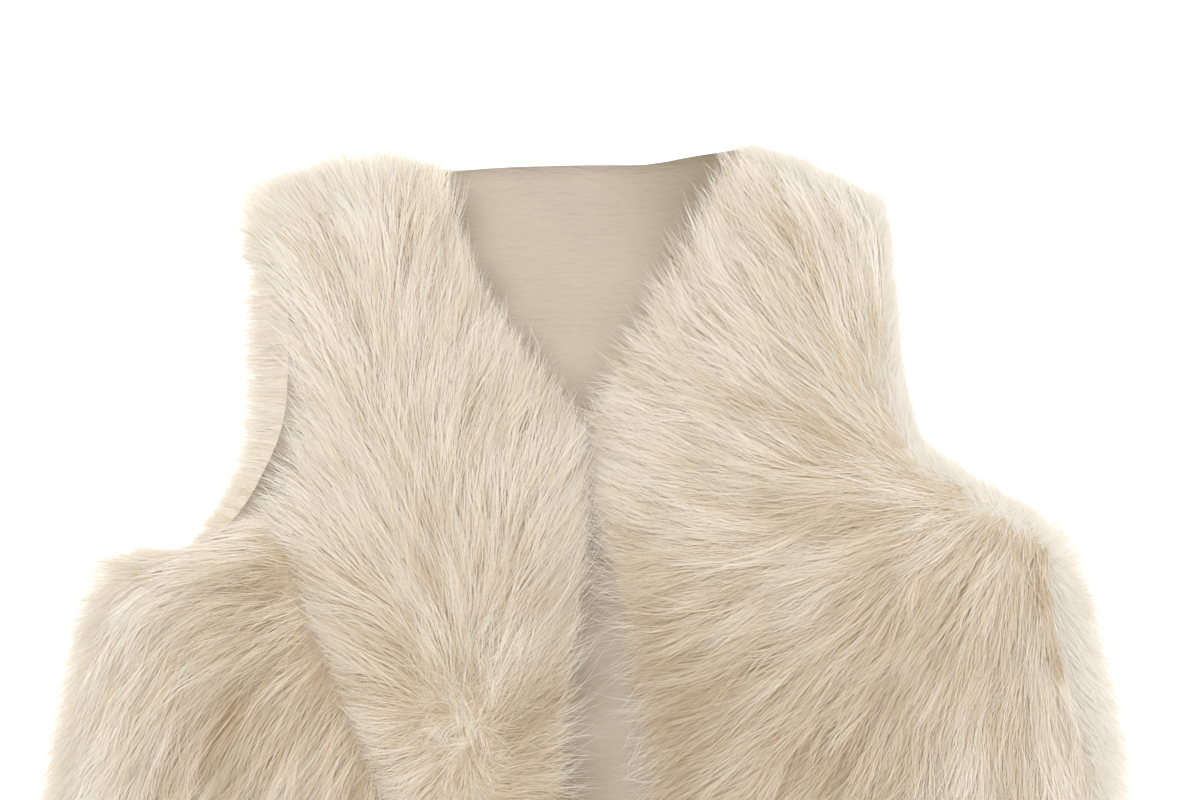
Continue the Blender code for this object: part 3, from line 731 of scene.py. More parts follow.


# ------------------------------------------------------------------ hair round the edges
# bearing is where the tips point, nought where they go with the front's own hair and below nought
# where they lie back along the edge; tone is how pale the hair is at the edge and at the outline, its paler outline
# being painted light for the glow through the thin tips, and root how pale it starts;
# inset is how far inside the edge it roots, and hub what a corner's hair fans out from
Edge = namedtuple("Edge", "name table side rise bearing front sweep on tone root inset hub", defaults=(0.3, 0, None))
EDGES = (
    Edge("armhole_R", REACH_ARMHOLE, "right", 2.0, 188, "", 12, "back", (0.50, 0.74), 0.55),
    Edge("tip_R", REACH_TIP, "right", 10.0, 150, "", 12, "back", (0.54, 0.70), 0.45, 0, (-160, 62)),
    Edge("corner_R", REACH_CORNER, "right", 9.0, 190, "", 12, "back", (0.54, 0.74), 0.45, 0, (-225, 262)),
    Edge("side_R", REACH_SIDE, "right", 12.0, 250, "", 34, "back", (0.50, 0.72)),
    Edge("hem", REACH_HEM, "left", 6.0, 268, "", 20, "back", (0.52, 0.74)),
    Edge("foot_R", REACH_FOOT, "right", 10.0, 250, "", 14, "back", (0.54, 0.74), 0.45, 0, (-286, 566)),
    Edge("foot_L", REACH_FOOT, "left", 10.0, 290, "", 14, "back", (0.60, 0.80), 0.45, 0, (286, 566)),
    Edge("side_L", REACH_SIDE, "left", 15.0, 286, "", 30, "back", (0.74, 0.95), 0.6),
    Edge("corner_L", REACH_CORNER, "left", 10.0, 340, "", 10, "back", (0.76, 0.95), 0.6, 0, (255, 270)),
    Edge("tip_L", REACH_TIP, "left", 10.0, 75, "", 12, "back", (0.76, 1.0), 0.6, 0, (150, 58)),
    Edge("armhole_L", REACH_ARMHOLE, "left", 5.0, -1, "", 24, "back", (0.76, 1.0), 0.6),
    Edge("shoulder_L", REACH_SHOULDER, "left", 12.0, 0, "front_L", 22, "back", (0.74, 1.0), 0.6),
    Edge("shoulder_R", REACH_SHOULDER, "right", 12.0, 0, "front_R", 22, "back", (0.62, 0.78), 0.5),
    Edge("front_armhole_L", REACH_FRONT_ARMHOLE, "left", 7.0, -1, "", 40, "front", (0.74, 0.98), 0.6, 12),
    Edge("front_side_L", REACH_FRONT_SIDE, "left", 12.0, 280, "", 30, "front", (0.74, 0.88), 0.6, 16),
    Edge("front_side_R", REACH_FRONT_SIDE, "right", 8.0, 254, "", 36, "front", (0.54, 0.66), 0.3, 12),
    Edge("front_armhole_R", REACH_SIDE_TOP, "right", 6.0, 168, "", 26, "front", (0.44, 0.62), 0.3, 14),
)
TUFT = 3.0              # hair at an edge draws into points about this far apart


def edge_runs(rows=60):
    """The edges that hair stands out from, as runs of points."""
    arm_r, arm_l = trace(ARMHOLE_BACK_R, rows), trace(ARMHOLE_BACK_L, rows)
    side_r, side_l = trace(SIDE_R, rows), trace(SIDE_L, rows)
    neck = trace(NECK_BACK, rows)
    corner_r, corner_l = (np.vstack((arm[-7:-1], side[:7])) for arm, side in ((arm_r, side_r), (arm_l, side_l)))
    shoulder_l, shoulder_r = line(neck[-1], arm_l[0], rows), line(neck[0], arm_r[0], rows)
    tip_r, tip_l = (np.vstack((top[-22:-1], arm[:7])) for top, arm in ((shoulder_r, arm_r), (shoulder_l, arm_l)))
    hem = line(side_r[-1], side_l[-1], rows)
    foot_r, foot_l = (np.vstack((side[-6:-1], low[:4])) for side, low in ((side_r, hem), (side_l, hem[::-1])))
    return {"foot_R": foot_r, "foot_L": foot_l, "armhole_R": arm_r, "side_R": side_r, "corner_R": corner_r, "corner_L": corner_l,
            "tip_R": tip_r, "tip_L": tip_l, "hem": hem,
            "side_L": side_l, "armhole_L": arm_l,
            "shoulder_L": shoulder_l, "shoulder_R": shoulder_r,
            "front_armhole_L": trace(ARMHOLE_FRONT_L, rows), "front_side_L": side_l, "front_side_R": side_r,
            "front_armhole_R": trace(ARMHOLE_SIDE_R, rows)}


def reach_at(edge, share):
    return np.interp(share, [row.along for row in edge.table], [getattr(row, edge.side) for row in edge.table])


def fringe(edge, run, outline, lays, rng, density):
    """Hair that stands out from an edge, over and under it, and turns with the lay."""
    along = np.concatenate(([0], np.cumsum(np.hypot(*np.diff(run, axis=0).T))))
    count = int(along[-1] * density)
    wave, tuft, ragged = ripples(rng, 34), ripples(rng, 8), ripples(rng, 15)
    t = rng.random(count) * along[-1]
    p = np.stack([np.interp(t, along, run[:, k]) for k in (0, 1)], 1)
    reach = reach_at(edge, t / along[-1])
    out = outline.out(p) if edge.hub is None else unit(p - (edge.hub[0], -edge.hub[1]))
    if edge.front:
        d = lays[edge.front].toward(p)
    elif edge.bearing < 0:
        back = -unit(np.gradient(run, axis=0))
        d = unit(np.stack([np.interp(t, along, back[:, k]) for k in (0, 1)], 1))
    else:
        d = np.broadcast_to((np.cos(radians(edge.bearing)), np.sin(radians(edge.bearing))), p.shape)
    d = d + out * np.maximum(0, 0.2 - (d * out).sum(1))[:, None] * 1.1
    number = (t / TUFT).astype(int)
    way, tall_of, tone_of = rng.normal(size=(3, number.max() + 1))[:, number]
    onward = unit(np.gradient(run, axis=0))
    onward = np.stack([np.interp(t, along, onward[:, k]) for k in (0, 1)], 1)
    pull = onward * ((TUFT * (number + 0.5) - t) * (0.05 + 0.35 * rng.random(count)))[:, None]
    turn = np.arctan2(d[:, 1], d[:, 0]) + radians(9) * rng.normal(size=count) + radians(3) * wave(p) + radians(2) * way
    d = np.stack((np.cos(turn), np.sin(turn)), 1)
    part, tall = rng.random(count) ** 0.6, rng.random(count) ** 0.4
    level = (back_height if edge.on == "back" else front_top)(p[:, 0], p[:, 1])
    low = 2.0 if edge.on == "back" else level - 3.0
    crest = level - 1.0 + edge.rise * np.sin(pi * (0.22 + 0.62 * part)) - 4.0 * part ** 3
    mid = low + (crest - low) * tall
    deep = rng.random(count)
    inset = np.where(tall > 0.6, 0.0, 12.0 * deep) if edge.on == "back" else edge.inset * deep
    sweep = edge.sweep * (0.75 + 0.5 * rng.random(count))
    a = np.column_stack((p - out * inset[:, None], level - (1.0 + 5.0 * (1 - tall)) * (edge.on == "back")))
    b = np.column_stack((p + 0.4 * pull + out * (0.85 * part * reach)[:, None] + d * (0.15 * sweep)[:, None],
                         mid + 0.25 * edge.rise * tall))
    c = b + np.column_stack((0.6 * pull + out * (0.15 * part * reach)[:, None] + d * (0.85 * sweep)[:, None],
                             -0.25 * edge.rise * tall - (0.6 if edge.table in (REACH_HEM, REACH_FOOT) else 0.12) * (mid - low)))
    u = np.linspace(0, 1, 4)[None, :, None]
    pts = a[:, None] * (1 - u) ** 2 + 2 * b[:, None] * u * (1 - u) + c[:, None] * u * u
    least, more = (0.6, 0.72) if edge.table in (REACH_HEM, REACH_FOOT) else (0.78, 0.44)
    pts = trim(pts, outline, reach * (least + more * rng.random(count) ** 1.4) + 0.8 * ragged(p) + 0.4 * tall_of
               + 2.4 * rng.random(count) ** 3)
    facing = unit(np.column_stack((out * (0.30 * part)[:, None], np.ones(count))))
    inner, outer = edge.tone
    # painted light: paler towards the outline, for the glow through the thin tips
    shade = (inner + (outer - inner) * part ** 1.5 + 0.10 * rng.normal(size=count) + 0.05 * tuft(p)
             + 0.02 * tone_of + 0.4 * tint_at(p) * (1 - part))
    return ribbons(pts, 0.24 + 0.16 * rng.random(count), radians(22) * rng.normal(size=count),
                   np.clip(256 * shade, 0, 255).astype(int), facing, 0.25, edge.root)


# curls where the lay parts: along a line of places, how many, how far to each side, how long, how warm,
# how far from the way out they may point and how high they start
Curls = namedtuple("Curls", "line count spread length warm stray rise", defaults=(30, 0.5))
CURLS_WHORL = (
    Curls(((-73, 296), (-75, 318), (-70, 334)), 30, 6, 34, -0.04, 40),
    Curls(((-88, 334), (-72, 340), (-56, 338), (-66, 352)), 60, 9, 30, -0.05, 85),
    Curls(((-86, 362), (-66, 374)), 34, 9, 32, -0.05, 60),
    Curls(((-71, 332), (-69, 338)), 9, 1.4, 26, 0.44, 60), Curls(((-64, 326), (-62, 331)), 7, 1.2, 24, 0.42, 60),
    Curls(((-80, 344), (-75, 347)), 8, 1.4, 24, 0.44, 60), Curls(((-67, 351), (-64, 355)), 8, 1.4, 26, 0.44, 60),
    Curls(((-60, 348), (-57, 353)), 8, 1.4, 26, 0.42, 60), Curls(((-82, 304), (-80, 316)), 8, 1.0, 26, 0.40, 15),
    Curls(((-79, 288), (-78, 298)), 6, 1.0, 26, 0.34, 15),
)
CURLS_SIDE = (
    Curls(((264, 232), (268, 258), (274, 284), (282, 308)), 34, 2.5, 26, 0.02, 16),
    Curls(((283, 250), (285, 270), (288, 292), (292, 312)), 20, 0.8, 18, 0.30, 9, 8),
)
CURLS_PANEL = (
    Curls(((-190, 248), (-212, 252), (-232, 258)), 18, 3, 30, 0.20, 7, 5),
    Curls(((-196, 270), (-216, 274), (-236, 282)), 18, 3, 30, 0.22, 7, 5),
    Curls(((-208, 288), (-218, 308), (-222, 334)), 18, 3, 34, 0.10, 7, 5),
    Curls(((-256, 252), (-263, 272)), 10, 3, 26, 0.12, 10, 5),
)
Lock = namedtuple("Lock", "across drop bearing length curl width warm rise")


def curled(rows, centre, rng):
    """Small locks along the given lines, pointing away from a centre, give or take."""
    some = []
    for row in rows:
        knots = np.array(row.line, float)
        run = np.concatenate(([0], np.cumsum(np.hypot(*np.diff(knots, axis=0).T))))
        for _ in range(row.count):
            at = rng.random() * run[-1]
            x, y = (np.interp(at, run, knots[:, k]) + row.spread * rng.normal() for k in (0, 1))
            away = np.degrees(np.arctan2(-y - centre[1], x - centre[0]))
            some.append(Lock(x, y, away + row.stray * rng.normal(), row.length * (0.7 + 0.6 * rng.random()),
                             45 * rng.normal(), 1.2 + 1.8 * rng.random(), row.warm + 0.10 * rng.normal(), row.rise))
    return some


def locks(rows, rng, hairs):
    """Bundles of hair that draw to a point."""
    batches = []
    for lock in rows:
        ring, turn = lock.width * np.sqrt(rng.random(hairs)), 2 * pi * rng.random(hairs)
        p = np.column_stack((lock.across + ring * np.cos(turn), -lock.drop + ring * np.sin(turn)))
        bearing = np.radians(lock.bearing + 11 * rng.normal(size=hairs))
        length = lock.length * (0.75 + 0.35 * rng.random(hairs))
        pts, spine = np.empty((2, hairs, 4, 3))
        pts[:, 0] = np.column_stack((p, front_top(p[:, 0], p[:, 1]) + lock.rise))
        spine[:, 0] = (lock.across, -lock.drop, front_top(lock.across, -lock.drop) + lock.rise)
        for k, lift in enumerate(np.radians((44, 12, -6))):
            way = bearing + np.radians(lock.curl * (k - 0.5) / 2)
            pts[:, k + 1] = pts[:, k] + (length / 3)[:, None] * np.stack(
                (np.cos(lift) * np.cos(way), np.cos(lift) * np.sin(way), np.full(hairs, np.sin(lift))), 1)
            way = radians(lock.bearing + lock.curl * (k - 0.5) / 2)
            spine[:, k + 1] = spine[:, k] + (length / 3)[:, None] * np.array(
                (np.cos(lift) * np.cos(way), np.cos(lift) * np.sin(way), np.sin(lift)))
        pts = gather(pts, spine, 0.15 + 0.55 * rng.random(hairs), 1.2)
        aside = (pts[:, 2] - spine[:, 2]) / lock.width
        facing = unit(UP + 0.45 * aside)
        shade = 0.56 - lock.warm + 0.09 * rng.normal(size=hairs)
        batches.append(ribbons(pts, 0.30 + 0.16 * rng.random(hairs), radians(30) * rng.normal(size=hairs),
                               np.clip(256 * shade, 0, 255).astype(int), facing, 0.35))
    return batches


def underside(grid, outline, rng, density):
    """Hair pressed flat between the back and the floor."""
    count = int(area_of(grid) * density)
    p = scatter(rng, grid, count)
    sway = ripples(rng, 60)
    out, far = outline.out(p), outline.distance(p)
    d = unit(np.array((0.0, -1.0)) + out * (0.9 * np.exp(far / 40))[:, None])
    turn = np.arctan2(d[:, 1], d[:, 0]) + radians(10) * sway(p) + radians(9) * rng.normal(size=count)
    length, fall = 52 * (0.8 + 0.4 * rng.random(count)), np.radians(12 + 4 * rng.normal(size=count))
    root = np.column_stack((p, back_height(p[:, 0], p[:, 1]) - 4.0 - 4 * rng.random(count)))
    step = np.column_stack((np.cos(turn), np.sin(turn), -np.tan(fall))) * length[:, None]
    bow = radians(3) * rng.normal(size=count) * length
    aside = np.column_stack((-np.sin(turn) * bow, np.cos(turn) * bow, -2.0 * np.ones(count)))
    pts = np.stack((root, root + 0.5 * step + aside, root + step), 1)
    pts = trim(pts, outline, 2.0)
    pts[..., 2] = np.maximum(pts[..., 2], 0.7 + 2.0 * rng.random(count)[:, None])
    shade = 0.5 + 0.12 * rng.normal(size=count)
    return ribbons(pts, 1.1 + 0.6 * rng.random(count), radians(25) * rng.normal(size=count),
                   np.clip(256 * shade, 0, 255).astype(int), np.broadcast_to(DOWN, (count, 3)))


# ------------------------------------------------------------------ materials
def socket(node, name):
    return node.inputs[name]


def new_material(name):
    material = bpy.data.materials.new(name)
    material.use_nodes = True
    tree = material.node_tree
    return material, tree, tree.nodes["Principled BSDF"]


def hair_material(name, stops, tints):
    """Colour along a hair from root to tip, and from hair to hair."""
    material, tree, shader = new_material(name)
    uv = tree.nodes.new("ShaderNodeUVMap"); uv.uv_map = "OFBake"
    split = tree.nodes.new("ShaderNodeSeparateXYZ")
    along = tree.nodes.new("ShaderNodeValToRGB")
    across = tree.nodes.new("ShaderNodeValToRGB")
    mix = tree.nodes.new("ShaderNodeMix")
    mix.data_type, mix.blend_type = "RGBA", "MULTIPLY"
    mix.inputs["Factor"].default_value = 1.0
    for ramp, rows in ((along.color_ramp, stops), (across.color_ramp, tints)):
        while len(ramp.elements) < len(rows):
            ramp.elements.new(0.5)
        for element, (place, colour) in zip(ramp.elements, rows):
            element.position, element.color = place, (*colour, 1.0)
    tree.links.new(uv.outputs["UV"], split.inputs[0])
    tree.links.new(split.outputs["Y"], along.inputs["Fac"])
    tree.links.new(split.outputs["X"], across.inputs["Fac"])
    tree.links.new(along.outputs["Color"], mix.inputs[6])
    tree.links.new(across.outputs["Color"], mix.inputs[7])
    tree.links.new(mix.outputs[2], shader.inputs["Base Color"])
    shader.inputs["Roughness"].default_value = 0.52
    shader.inputs["Specular IOR Level"].default_value = 0.35
    shader.inputs["Sheen Weight"].default_value = 0.15
    shader.inputs["Sheen Roughness"].default_value = 0.4
    return material


# painted shade on the leather, where the fur's edges shade it by the neck, at the opening and by the right armhole: how
# wide in mm and how much
ShadePatch = namedtuple("ShadePatch", "place across drop wide amount")
SHADE_PATCHES = (
    ShadePatch("left neck point", 86, 10, 90, 1.00), ShadePatch("foot of the neck", 3, 158, 46, 0.30),
    ShadePatch("right of the neck, top", -84, 36, 30, 0.55), ShadePatch("right of the neck", -64, 80, 28, 0.45),
    ShadePatch("right of the neck, low", -38, 120, 26, 0.40), ShadePatch("left of the neck", 62, 58, 34, 0.60),
    ShadePatch("left of the neck, low", 40, 104, 28, 0.45),
    ShadePatch("opening, top", -6, 232, 36, 0.90), ShadePatch("opening, ribs", -12, 276, 44, 0.89),
    ShadePatch("opening, waist", -16, 326, 50, 0.88), ShadePatch("opening, hip", -16, 384, 60, 0.87),
    ShadePatch("right armhole", -194, 190, 60, 0.95),
)


def leather_material(name, light, dark, deep):
    """Fine-grained nappa: soft mottling, pores and hair-fine wrinkles, with painted shade mixed in towards the deep
    colour at the shade patches.
    """
    material, tree, shader = new_material(name)
    new, link = tree.nodes.new, tree.links.new
    coord = new("ShaderNodeTexCoord")
    mottle = new("ShaderNodeTexNoise")
    mottle.inputs["Scale"].default_value = 26
    mottle.inputs["Detail"].default_value = 5
    mottle.inputs["Roughness"].default_value = 0.55
    ramp = new("ShaderNodeValToRGB")
    ramp.color_ramp.elements[0].position, ramp.color_ramp.elements[0].color = 0.32, (*dark, 1)
    ramp.color_ramp.elements[1].position, ramp.color_ramp.elements[1].color = 0.66, (*light, 1)
    grain = new("ShaderNodeTexVoronoi")
    grain.feature = "DISTANCE_TO_EDGE"
    grain.inputs["Scale"].default_value = 820
    squeeze = new("ShaderNodeMapping")
    squeeze.inputs["Scale"].default_value = (0.5, 1.9, 1.0)
    wrinkle = new("ShaderNodeTexNoise")
    wrinkle.inputs["Scale"].default_value = 210
    wrinkle.inputs["Detail"].default_value = 4
    wrinkle.inputs["Distortion"].default_value = 0.6
    fine = new("ShaderNodeBump")
    fine.inputs["Strength"].default_value = 0.22
    fine.inputs["Distance"].default_value = 0.0004
    fold = new("ShaderNodeBump")
    fold.inputs["Strength"].default_value = 0.75
    fold.inputs["Distance"].default_value = 0.0012
    gloss = new("ShaderNodeMapRange")
    gloss.inputs["To Min"].default_value = 0.46
    gloss.inputs["To Max"].default_value = 0.62
    for node in (mottle, grain):
        link(coord.outputs["Object"], node.inputs["Vector"])
    link(coord.outputs["Object"], squeeze.inputs["Vector"])
    link(squeeze.outputs["Vector"], wrinkle.inputs["Vector"])
    link(mottle.outputs["Fac"], ramp.inputs["Fac"])
    # painted shade: the mask of the shade patches, the strongest patch at each place
    tone = None
    for patch in SHADE_PATCHES:
        away = new("ShaderNodeVectorMath")
        away.operation = "DISTANCE"
        away.inputs[1].default_value = (0.001 * (patch.across + SHIFT[0]), 0.001 * (SHIFT[1] - patch.drop), 0.016)
        fall = new("ShaderNodeMapRange")
        fall.interpolation_type = "SMOOTHSTEP"
        fall.inputs["From Min"].default_value = 0.0
        fall.inputs["From Max"].default_value = 0.001 * patch.wide
        fall.inputs["To Min"].default_value = patch.amount
        fall.inputs["To Max"].default_value = 0.0
        link(coord.outputs["Object"], away.inputs[0])
        link(away.outputs["Value"], fall.inputs["Value"])
        if tone is None:
            tone = fall
        else:
            both = new("ShaderNodeMath")
            both.operation = "MAXIMUM"
            link(tone.outputs[0], both.inputs[0])
            link(fall.outputs["Result"], both.inputs[1])
            tone = both
    # painted shade: the leather's colour mixed towards the deep colour by that mask
    painted_shade = new("ShaderNodeMix")
    painted_shade.data_type = "RGBA"
    painted_shade.inputs[7].default_value = (*deep, 1)
    link(tone.outputs[0], painted_shade.inputs["Factor"])
    link(ramp.outputs["Color"], painted_shade.inputs[6])
    link(painted_shade.outputs[2], shader.inputs["Base Color"])
    link(mottle.outputs["Fac"], gloss.inputs["Value"])
    link(gloss.outputs["Result"], shader.inputs["Roughness"])
    link(wrinkle.outputs["Fac"], fold.inputs["Height"])
    link(grain.outputs["Distance"], fine.inputs["Height"])
    link(fold.outputs["Normal"], fine.inputs["Normal"])
    link(fine.outputs["Normal"], shader.inputs["Normal"])
    shader.inputs["Specular IOR Level"].default_value = 0.4
    return material


def wool_material(name, light, dark):
    """The matted under-wool that shows between the locks."""
    material, tree, shader = new_material(name)
    new, link = tree.nodes.new, tree.links.new
    coord = new("ShaderNodeTexCoord")
    tuft = new("ShaderNodeTexNoise")
    tuft.inputs["Scale"].default_value = 340
    tuft.inputs["Detail"].default_value = 6
    ramp = new("ShaderNodeValToRGB")
    ramp.color_ramp.elements[0].position, ramp.color_ramp.elements[0].color = 0.3, (*dark, 1)
    ramp.color_ramp.elements[1].position, ramp.color_ramp.elements[1].color = 0.7, (*light, 1)
    bump = new("ShaderNodeBump")
    bump.inputs["Strength"].default_value = 0.7
    bump.inputs["Distance"].default_value = 0.002
    link(coord.outputs["Object"], tuft.inputs["Vector"])
    link(tuft.outputs["Fac"], ramp.inputs["Fac"])
    link(ramp.outputs["Color"], shader.inputs["Base Color"])
    link(tuft.outputs["Fac"], bump.inputs["Height"])
    link(bump.outputs["Normal"], shader.inputs["Normal"])
    shader.inputs["Roughness"].default_value = 0.9
    shader.inputs["Sheen Weight"].default_value = 0.3
    return material


HAIR = hair_material(
    "sheep_hair",
    ((0.0, (0.75, 0.60, 0.43)), (0.3, (0.92, 0.815, 0.67)), (0.6, (0.975, 0.915, 0.825)), (1.0, (0.985, 0.95, 0.895))),
    ((0.0, (0.62, 0.50, 0.345)), (0.3, (0.815, 0.735, 0.61)), (0.6, (0.955, 0.932, 0.885)), (1.0, (1.0, 1.0, 1.0))))
# the last colour is the painted shade's, under the fur's edges
LEATHER = leather_material("nappa_leather", (0.54, 0.463, 0.369), (0.505, 0.43, 0.341), (0.33, 0.265, 0.185))
WOOL = wool_material("under_wool", (0.88, 0.79, 0.66), (0.74, 0.62, 0.48))
BED = wool_material("under_wool_deep", (0.74, 0.635, 0.50), (0.60, 0.49, 0.37))


# ------------------------------------------------------------------ skins
def closed_sheet(name, grid, under, over):
    """A closed shell over a grid of points, between two heights."""
    rows, cols = grid.shape[0] - 1, grid.shape[1] - 1
    flat = grid.reshape(-1, 2)
    verts = np.vstack((np.column_stack((flat, over)), np.column_stack((flat, under))))
    at = np.arange(len(flat)).reshape(rows + 1, cols + 1)
    top = np.stack((at[:-1, :-1], at[1:, :-1], at[1:, 1:], at[:-1, 1:]), -1).reshape(-1, 4)
    low = top[:, ::-1] + len(flat)
    edge = np.concatenate((at[:-1, 0], at[-1, :-1], at[:0:-1, -1], at[0, :0:-1]))
    nxt = np.roll(edge, -1)
    wall = np.stack((nxt, edge, edge + len(flat), nxt + len(flat)), -1)
    faces = np.vstack((top, low, wall))
    return mesh_from(name, verts, faces.ravel(), np.full(len(faces), 4))


FINE = panels(24, 26, 32)
ROOTS = panels(20, 20, 24)

pieces = {}
for name, grid in FINE.items():
    flat = grid.reshape(-1, 2)
    height = back_height if name == "back" else front_height
    base = height(flat[:, 0], flat[:, 1])
    skin = closed_sheet(name + "_leather", grid, base, base + SKIN)
    skin.data.materials.append(LEATHER)
    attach(skin, "root")
    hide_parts(name + "_skin")
    pieces[name] = skin

# ------------------------------------------------------------------ under-wool
def wool_pad(name, grid, tall=6.0, inset=14.0):
    """A low bed of wool on a front panel, thinning out towards its edges."""
    flat = grid.reshape(-1, 2)
    depth = -Outline(rim(grid)).distance(flat)
    over = front_top(flat[:, 0], flat[:, 1]) + 0.15
    return closed_sheet(name, grid, over, over + 0.1 + tall * ease(0, inset, depth))


# its section outside the skin's edge: share of the reach, of the height and of the rise
ROLL = ((0.10, 0.74, 0.40), (0.30, 0.62, 0.40), (0.44, 0.38, 0.10), (0.36, 0.16, 0.0), (0.15, 0.09, 0.0))


def wool_roll(name, grid, edges, runs):
    """The wool under the back and round its edges, closed, with a flat underside."""
    loop = rim(grid)
    reach, rise, best = np.zeros(len(loop)), np.zeros(len(loop)), np.full(len(loop), 2.0)
    for edge in edges:
        away = np.sqrt(((loop[:, None] - runs[edge.name][None]) ** 2).sum(-1))
        far, share = away.min(1), away.argmin(1) / (len(runs[edge.name]) - 1)
        closer = far < best
        reach[closer], rise[closer], best[closer] = reach_at(edge, share)[closer], edge.rise, far[closer]
    for _ in range(3):
        reach, rise = ((v + np.roll(v, 1) + np.roll(v, -1)) / 3 for v in (reach, rise))
    out = np.roll(loop, -1, 0) - np.roll(loop, 1, 0)
    out = unit(np.stack((out[:, 1], -out[:, 0]), 1))
    level = back_height(*loop.T) - 0.3
    layers = [np.column_stack((loop + out * (share * reach)[:, None], high * level + up * rise))
              for share, high, up in ROLL]
    flat = grid.reshape(-1, 2)
    n, m = len(flat), len(loop)
    verts = np.vstack((np.column_stack((flat, back_height(*flat.T) - 0.3)),
                       np.column_stack((flat, np.full(n, 1.2))), *layers))
    at = np.arange(n).reshape(grid.shape[:2])
    cells = np.stack((at[:-1, :-1], at[1:, :-1], at[1:, 1:], at[:-1, 1:]), -1).reshape(-1, 4)
    edge = np.concatenate((at[:-1, 0], at[-1, :-1], at[:0:-1, -1], at[0, :0:-1]))
    chain = [edge] + [2 * n + m * k + np.arange(m) for k in range(len(ROLL))] + [edge + n]
    walls = [np.stack((np.roll(a, -1), a, b, np.roll(b, -1)), -1) for a, b in zip(chain, chain[1:])]
    faces = np.vstack((cells, cells[:, ::-1] + n, *walls))
    return mesh_from(name, verts, faces.ravel(), np.full(len(faces), 4))


def dress(thing, material):
    thing.data.materials.append(material)
    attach(thing, "root")
    return thing


# ------------------------------------------------------------------ hair
rng = np.random.default_rng(20)
DENSITY, UNDER = ((0.375, 0.115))
hair, lays = {}, {}
for name in ("front_L", "front_R", "side_R"):
    pad = dress(wool_pad(name + "_wool_bed", panels(28, 30, 36)[name]), BED)
    lays[name] = Lay(Outline(rim(ROOTS[name])), COATS[name].lay, rng)
    long_hair, wool, stray = coat(name, widened(name, ROOTS[name]), lays[name], rng, DENSITY, UNDER)
    low_half = long_hair[0][:, 0, 1] < np.median(long_hair[0][:, 0, 1])
    parts = [pad, dress(hair_object(name + "_hair_upper", chosen(long_hair, ~low_half)), HAIR),
             dress(hair_object(name + "_hair_lower", chosen(long_hair, low_half)), HAIR),
             dress(hair_object(name + "_wool", ribbons(*wool)), HAIR)]
    if stray:
        parts.append(dress(hair_object(name + "_hair_wisps", ribbons(*stray, 0.4, 0.3)), HAIR))
    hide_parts(name + "_fur")
    hair[name] = parts

back_outline = Outline(rim(ROOTS["back"]))
runs = edge_runs()
roll = dress(wool_roll("back_wool_roll", panels(24, 24, 32)["back"], [e for e in EDGES if e.on == "back" and e.table not in (REACH_CORNER, REACH_TIP, REACH_FOOT)], runs),
             WOOL)
PER_MM = {"back": 23, "front": 8}
grown = {edge.name: fringe(edge, runs[edge.name], back_outline if edge.on == "back" else lays[
    "side_R" if edge.name in ("front_side_R", "front_armhole_R") else "front_L"].outline, lays, rng,
    PER_MM[edge.on] * (0.4 if edge.table in (REACH_HEM, REACH_FOOT) else 1)) for edge in EDGES}
right = dress(hair_object("back_hair_right", *(grown[k] for k in ("armhole_R", "corner_R", "side_R", "shoulder_R", "tip_R", "foot_R"))), HAIR)
left = dress(hair_object("back_hair_left", *(grown[k] for k in ("armhole_L", "corner_L", "side_L", "shoulder_L", "tip_L", "foot_L"))), HAIR)
hem = dress(hair_object("back_hair_hem", grown["hem"]), HAIR)
under = dress(hair_object("back_hair_under", underside(ROOTS["back"], back_outline, rng, 0.031)),
              HAIR)
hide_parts("back_fur")
hair["back"] = [roll, right, left, hem, under]
hair["front_L"].append(dress(hair_object("front_L_hair_edge", grown["front_armhole_L"], grown["front_side_L"]),
                             HAIR))
hair["side_R"].append(dress(hair_object("side_R_hair_edge", grown["front_side_R"], grown["front_armhole_R"]), HAIR))
hair["front_L"].append(dress(hair_object("front_L_hair_crease", *locks(curled(CURLS_SIDE, (266, -170), rng), rng, 18)), HAIR))
hair["side_R"].append(dress(hair_object("side_R_hair_tufts", *locks(curled(CURLS_PANEL, (-130, -235), rng), rng, 16)), HAIR))
hair["front_R"].append(dress(hair_object("front_R_hair_whorl", *locks(curled(CURLS_WHORL, WHORL_R, rng), rng, 18)), HAIR))

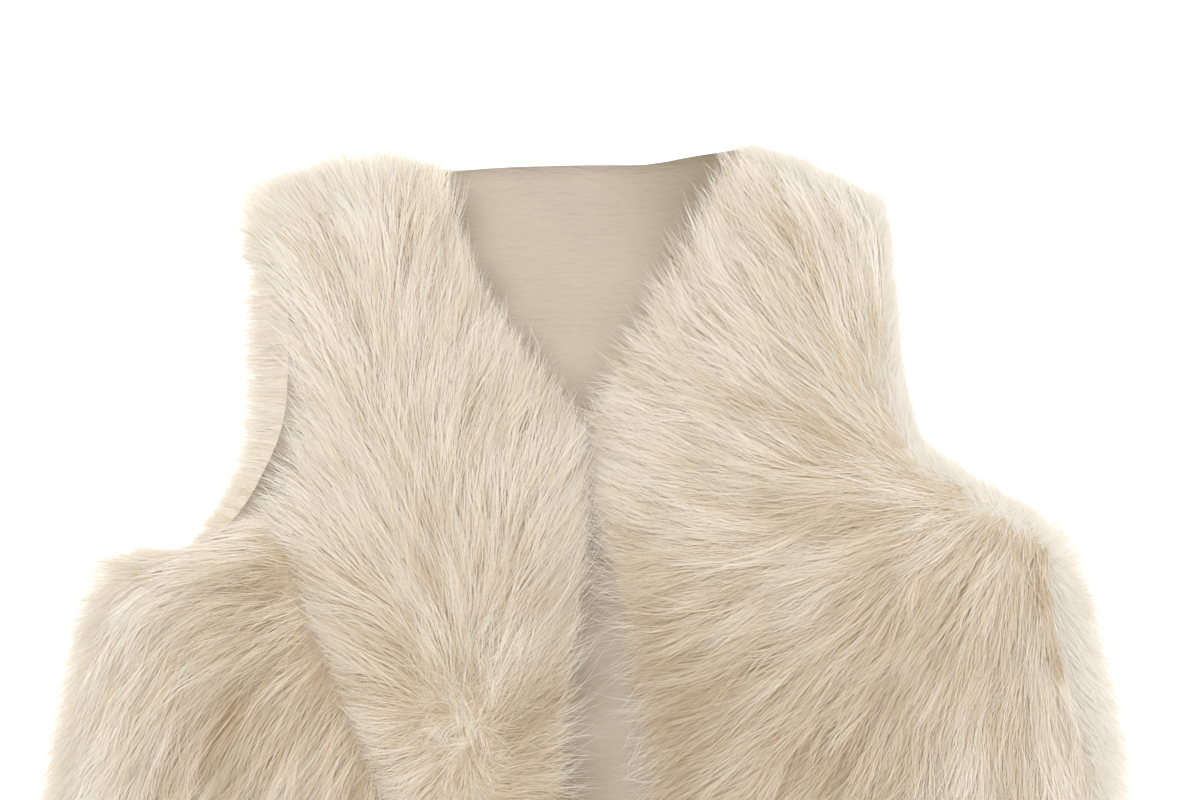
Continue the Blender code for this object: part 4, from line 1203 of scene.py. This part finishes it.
total = 0
for name, parts in [("skins", list(pieces.values()))] + list(hair.items()):
    for thing in parts:
        tris = sum(len(face.vertices) - 2 for face in thing.data.polygons)
        total += tris
        print("triangles", thing.name, tris)
print("triangles in all", total)

# ------------------------------------------------------------------ floor, light and camera
bpy.ops.mesh.primitive_plane_add(size=8.0, location=(0, 0, -0.0004))
floor = bpy.context.object
floor.name = "floor"
material, tree, shader = new_material("floor_white")
shader.inputs["Base Color"].default_value = (0.82, 0.82, 0.82, 1)
shader.inputs["Roughness"].default_value = 0.9
shader.inputs["Emission Color"].default_value = (1, 1, 1, 1)
shader.inputs["Emission Strength"].default_value = 0.55
floor.data.materials.append(material)

world = bpy.data.worlds.new("studio")
bpy.context.scene.world = world
world.use_nodes = True
world.node_tree.nodes["Background"].inputs["Color"].default_value = (1.0, 0.975, 0.94, 1)
world.node_tree.nodes["Background"].inputs["Strength"].default_value = 0.36


def softbox(name, place, aim, size, watts):
    light = bpy.data.lights.new(name, "AREA")
    light.shape, light.size, light.energy = "DISK", size, watts
    lamp = bpy.data.objects.new(name, light)
    bpy.context.scene.collection.objects.link(lamp)
    lamp.location = place
    lamp.rotation_euler = (Vector(aim) - Vector(place)).to_track_quat("-Z", "Y").to_euler()


softbox("key", (-1.9, 1.2, 1.7), (0, 0.1, 0), 1.3, 24)
softbox("fill", (2.0, 0.6, 1.7), (0, 0.1, 0), 1.3, 18)
softbox("overhead", (0.0, 0.2, 3.2), (0, 0.15, 0), 1.2, 45.5)
softbox("front", (0.0, -2.4, 1.0), (0, -0.1, 0), 1.3, 5)

PIXEL = 0.62
view_x = (600 - 585) * PIXEL + SHIFT[0]
view_y = -(400 - 165) * PIXEL + SHIFT[1]
camera = bpy.data.cameras.new("camera")
camera.sensor_width = 36.0
DISTANCE = 2.5
camera.lens = 36.0 * DISTANCE / (1.2 * PIXEL)
camera.clip_end = 50
eye = bpy.data.objects.new("camera", camera)
bpy.context.scene.collection.objects.link(eye)
eye.location = (view_x * 0.001, view_y * 0.001, 0.025 + DISTANCE)
eye.rotation_euler = (0, 0, 0)
bpy.context.scene.camera = eye
bpy.context.scene.view_settings.view_transform = "Standard"
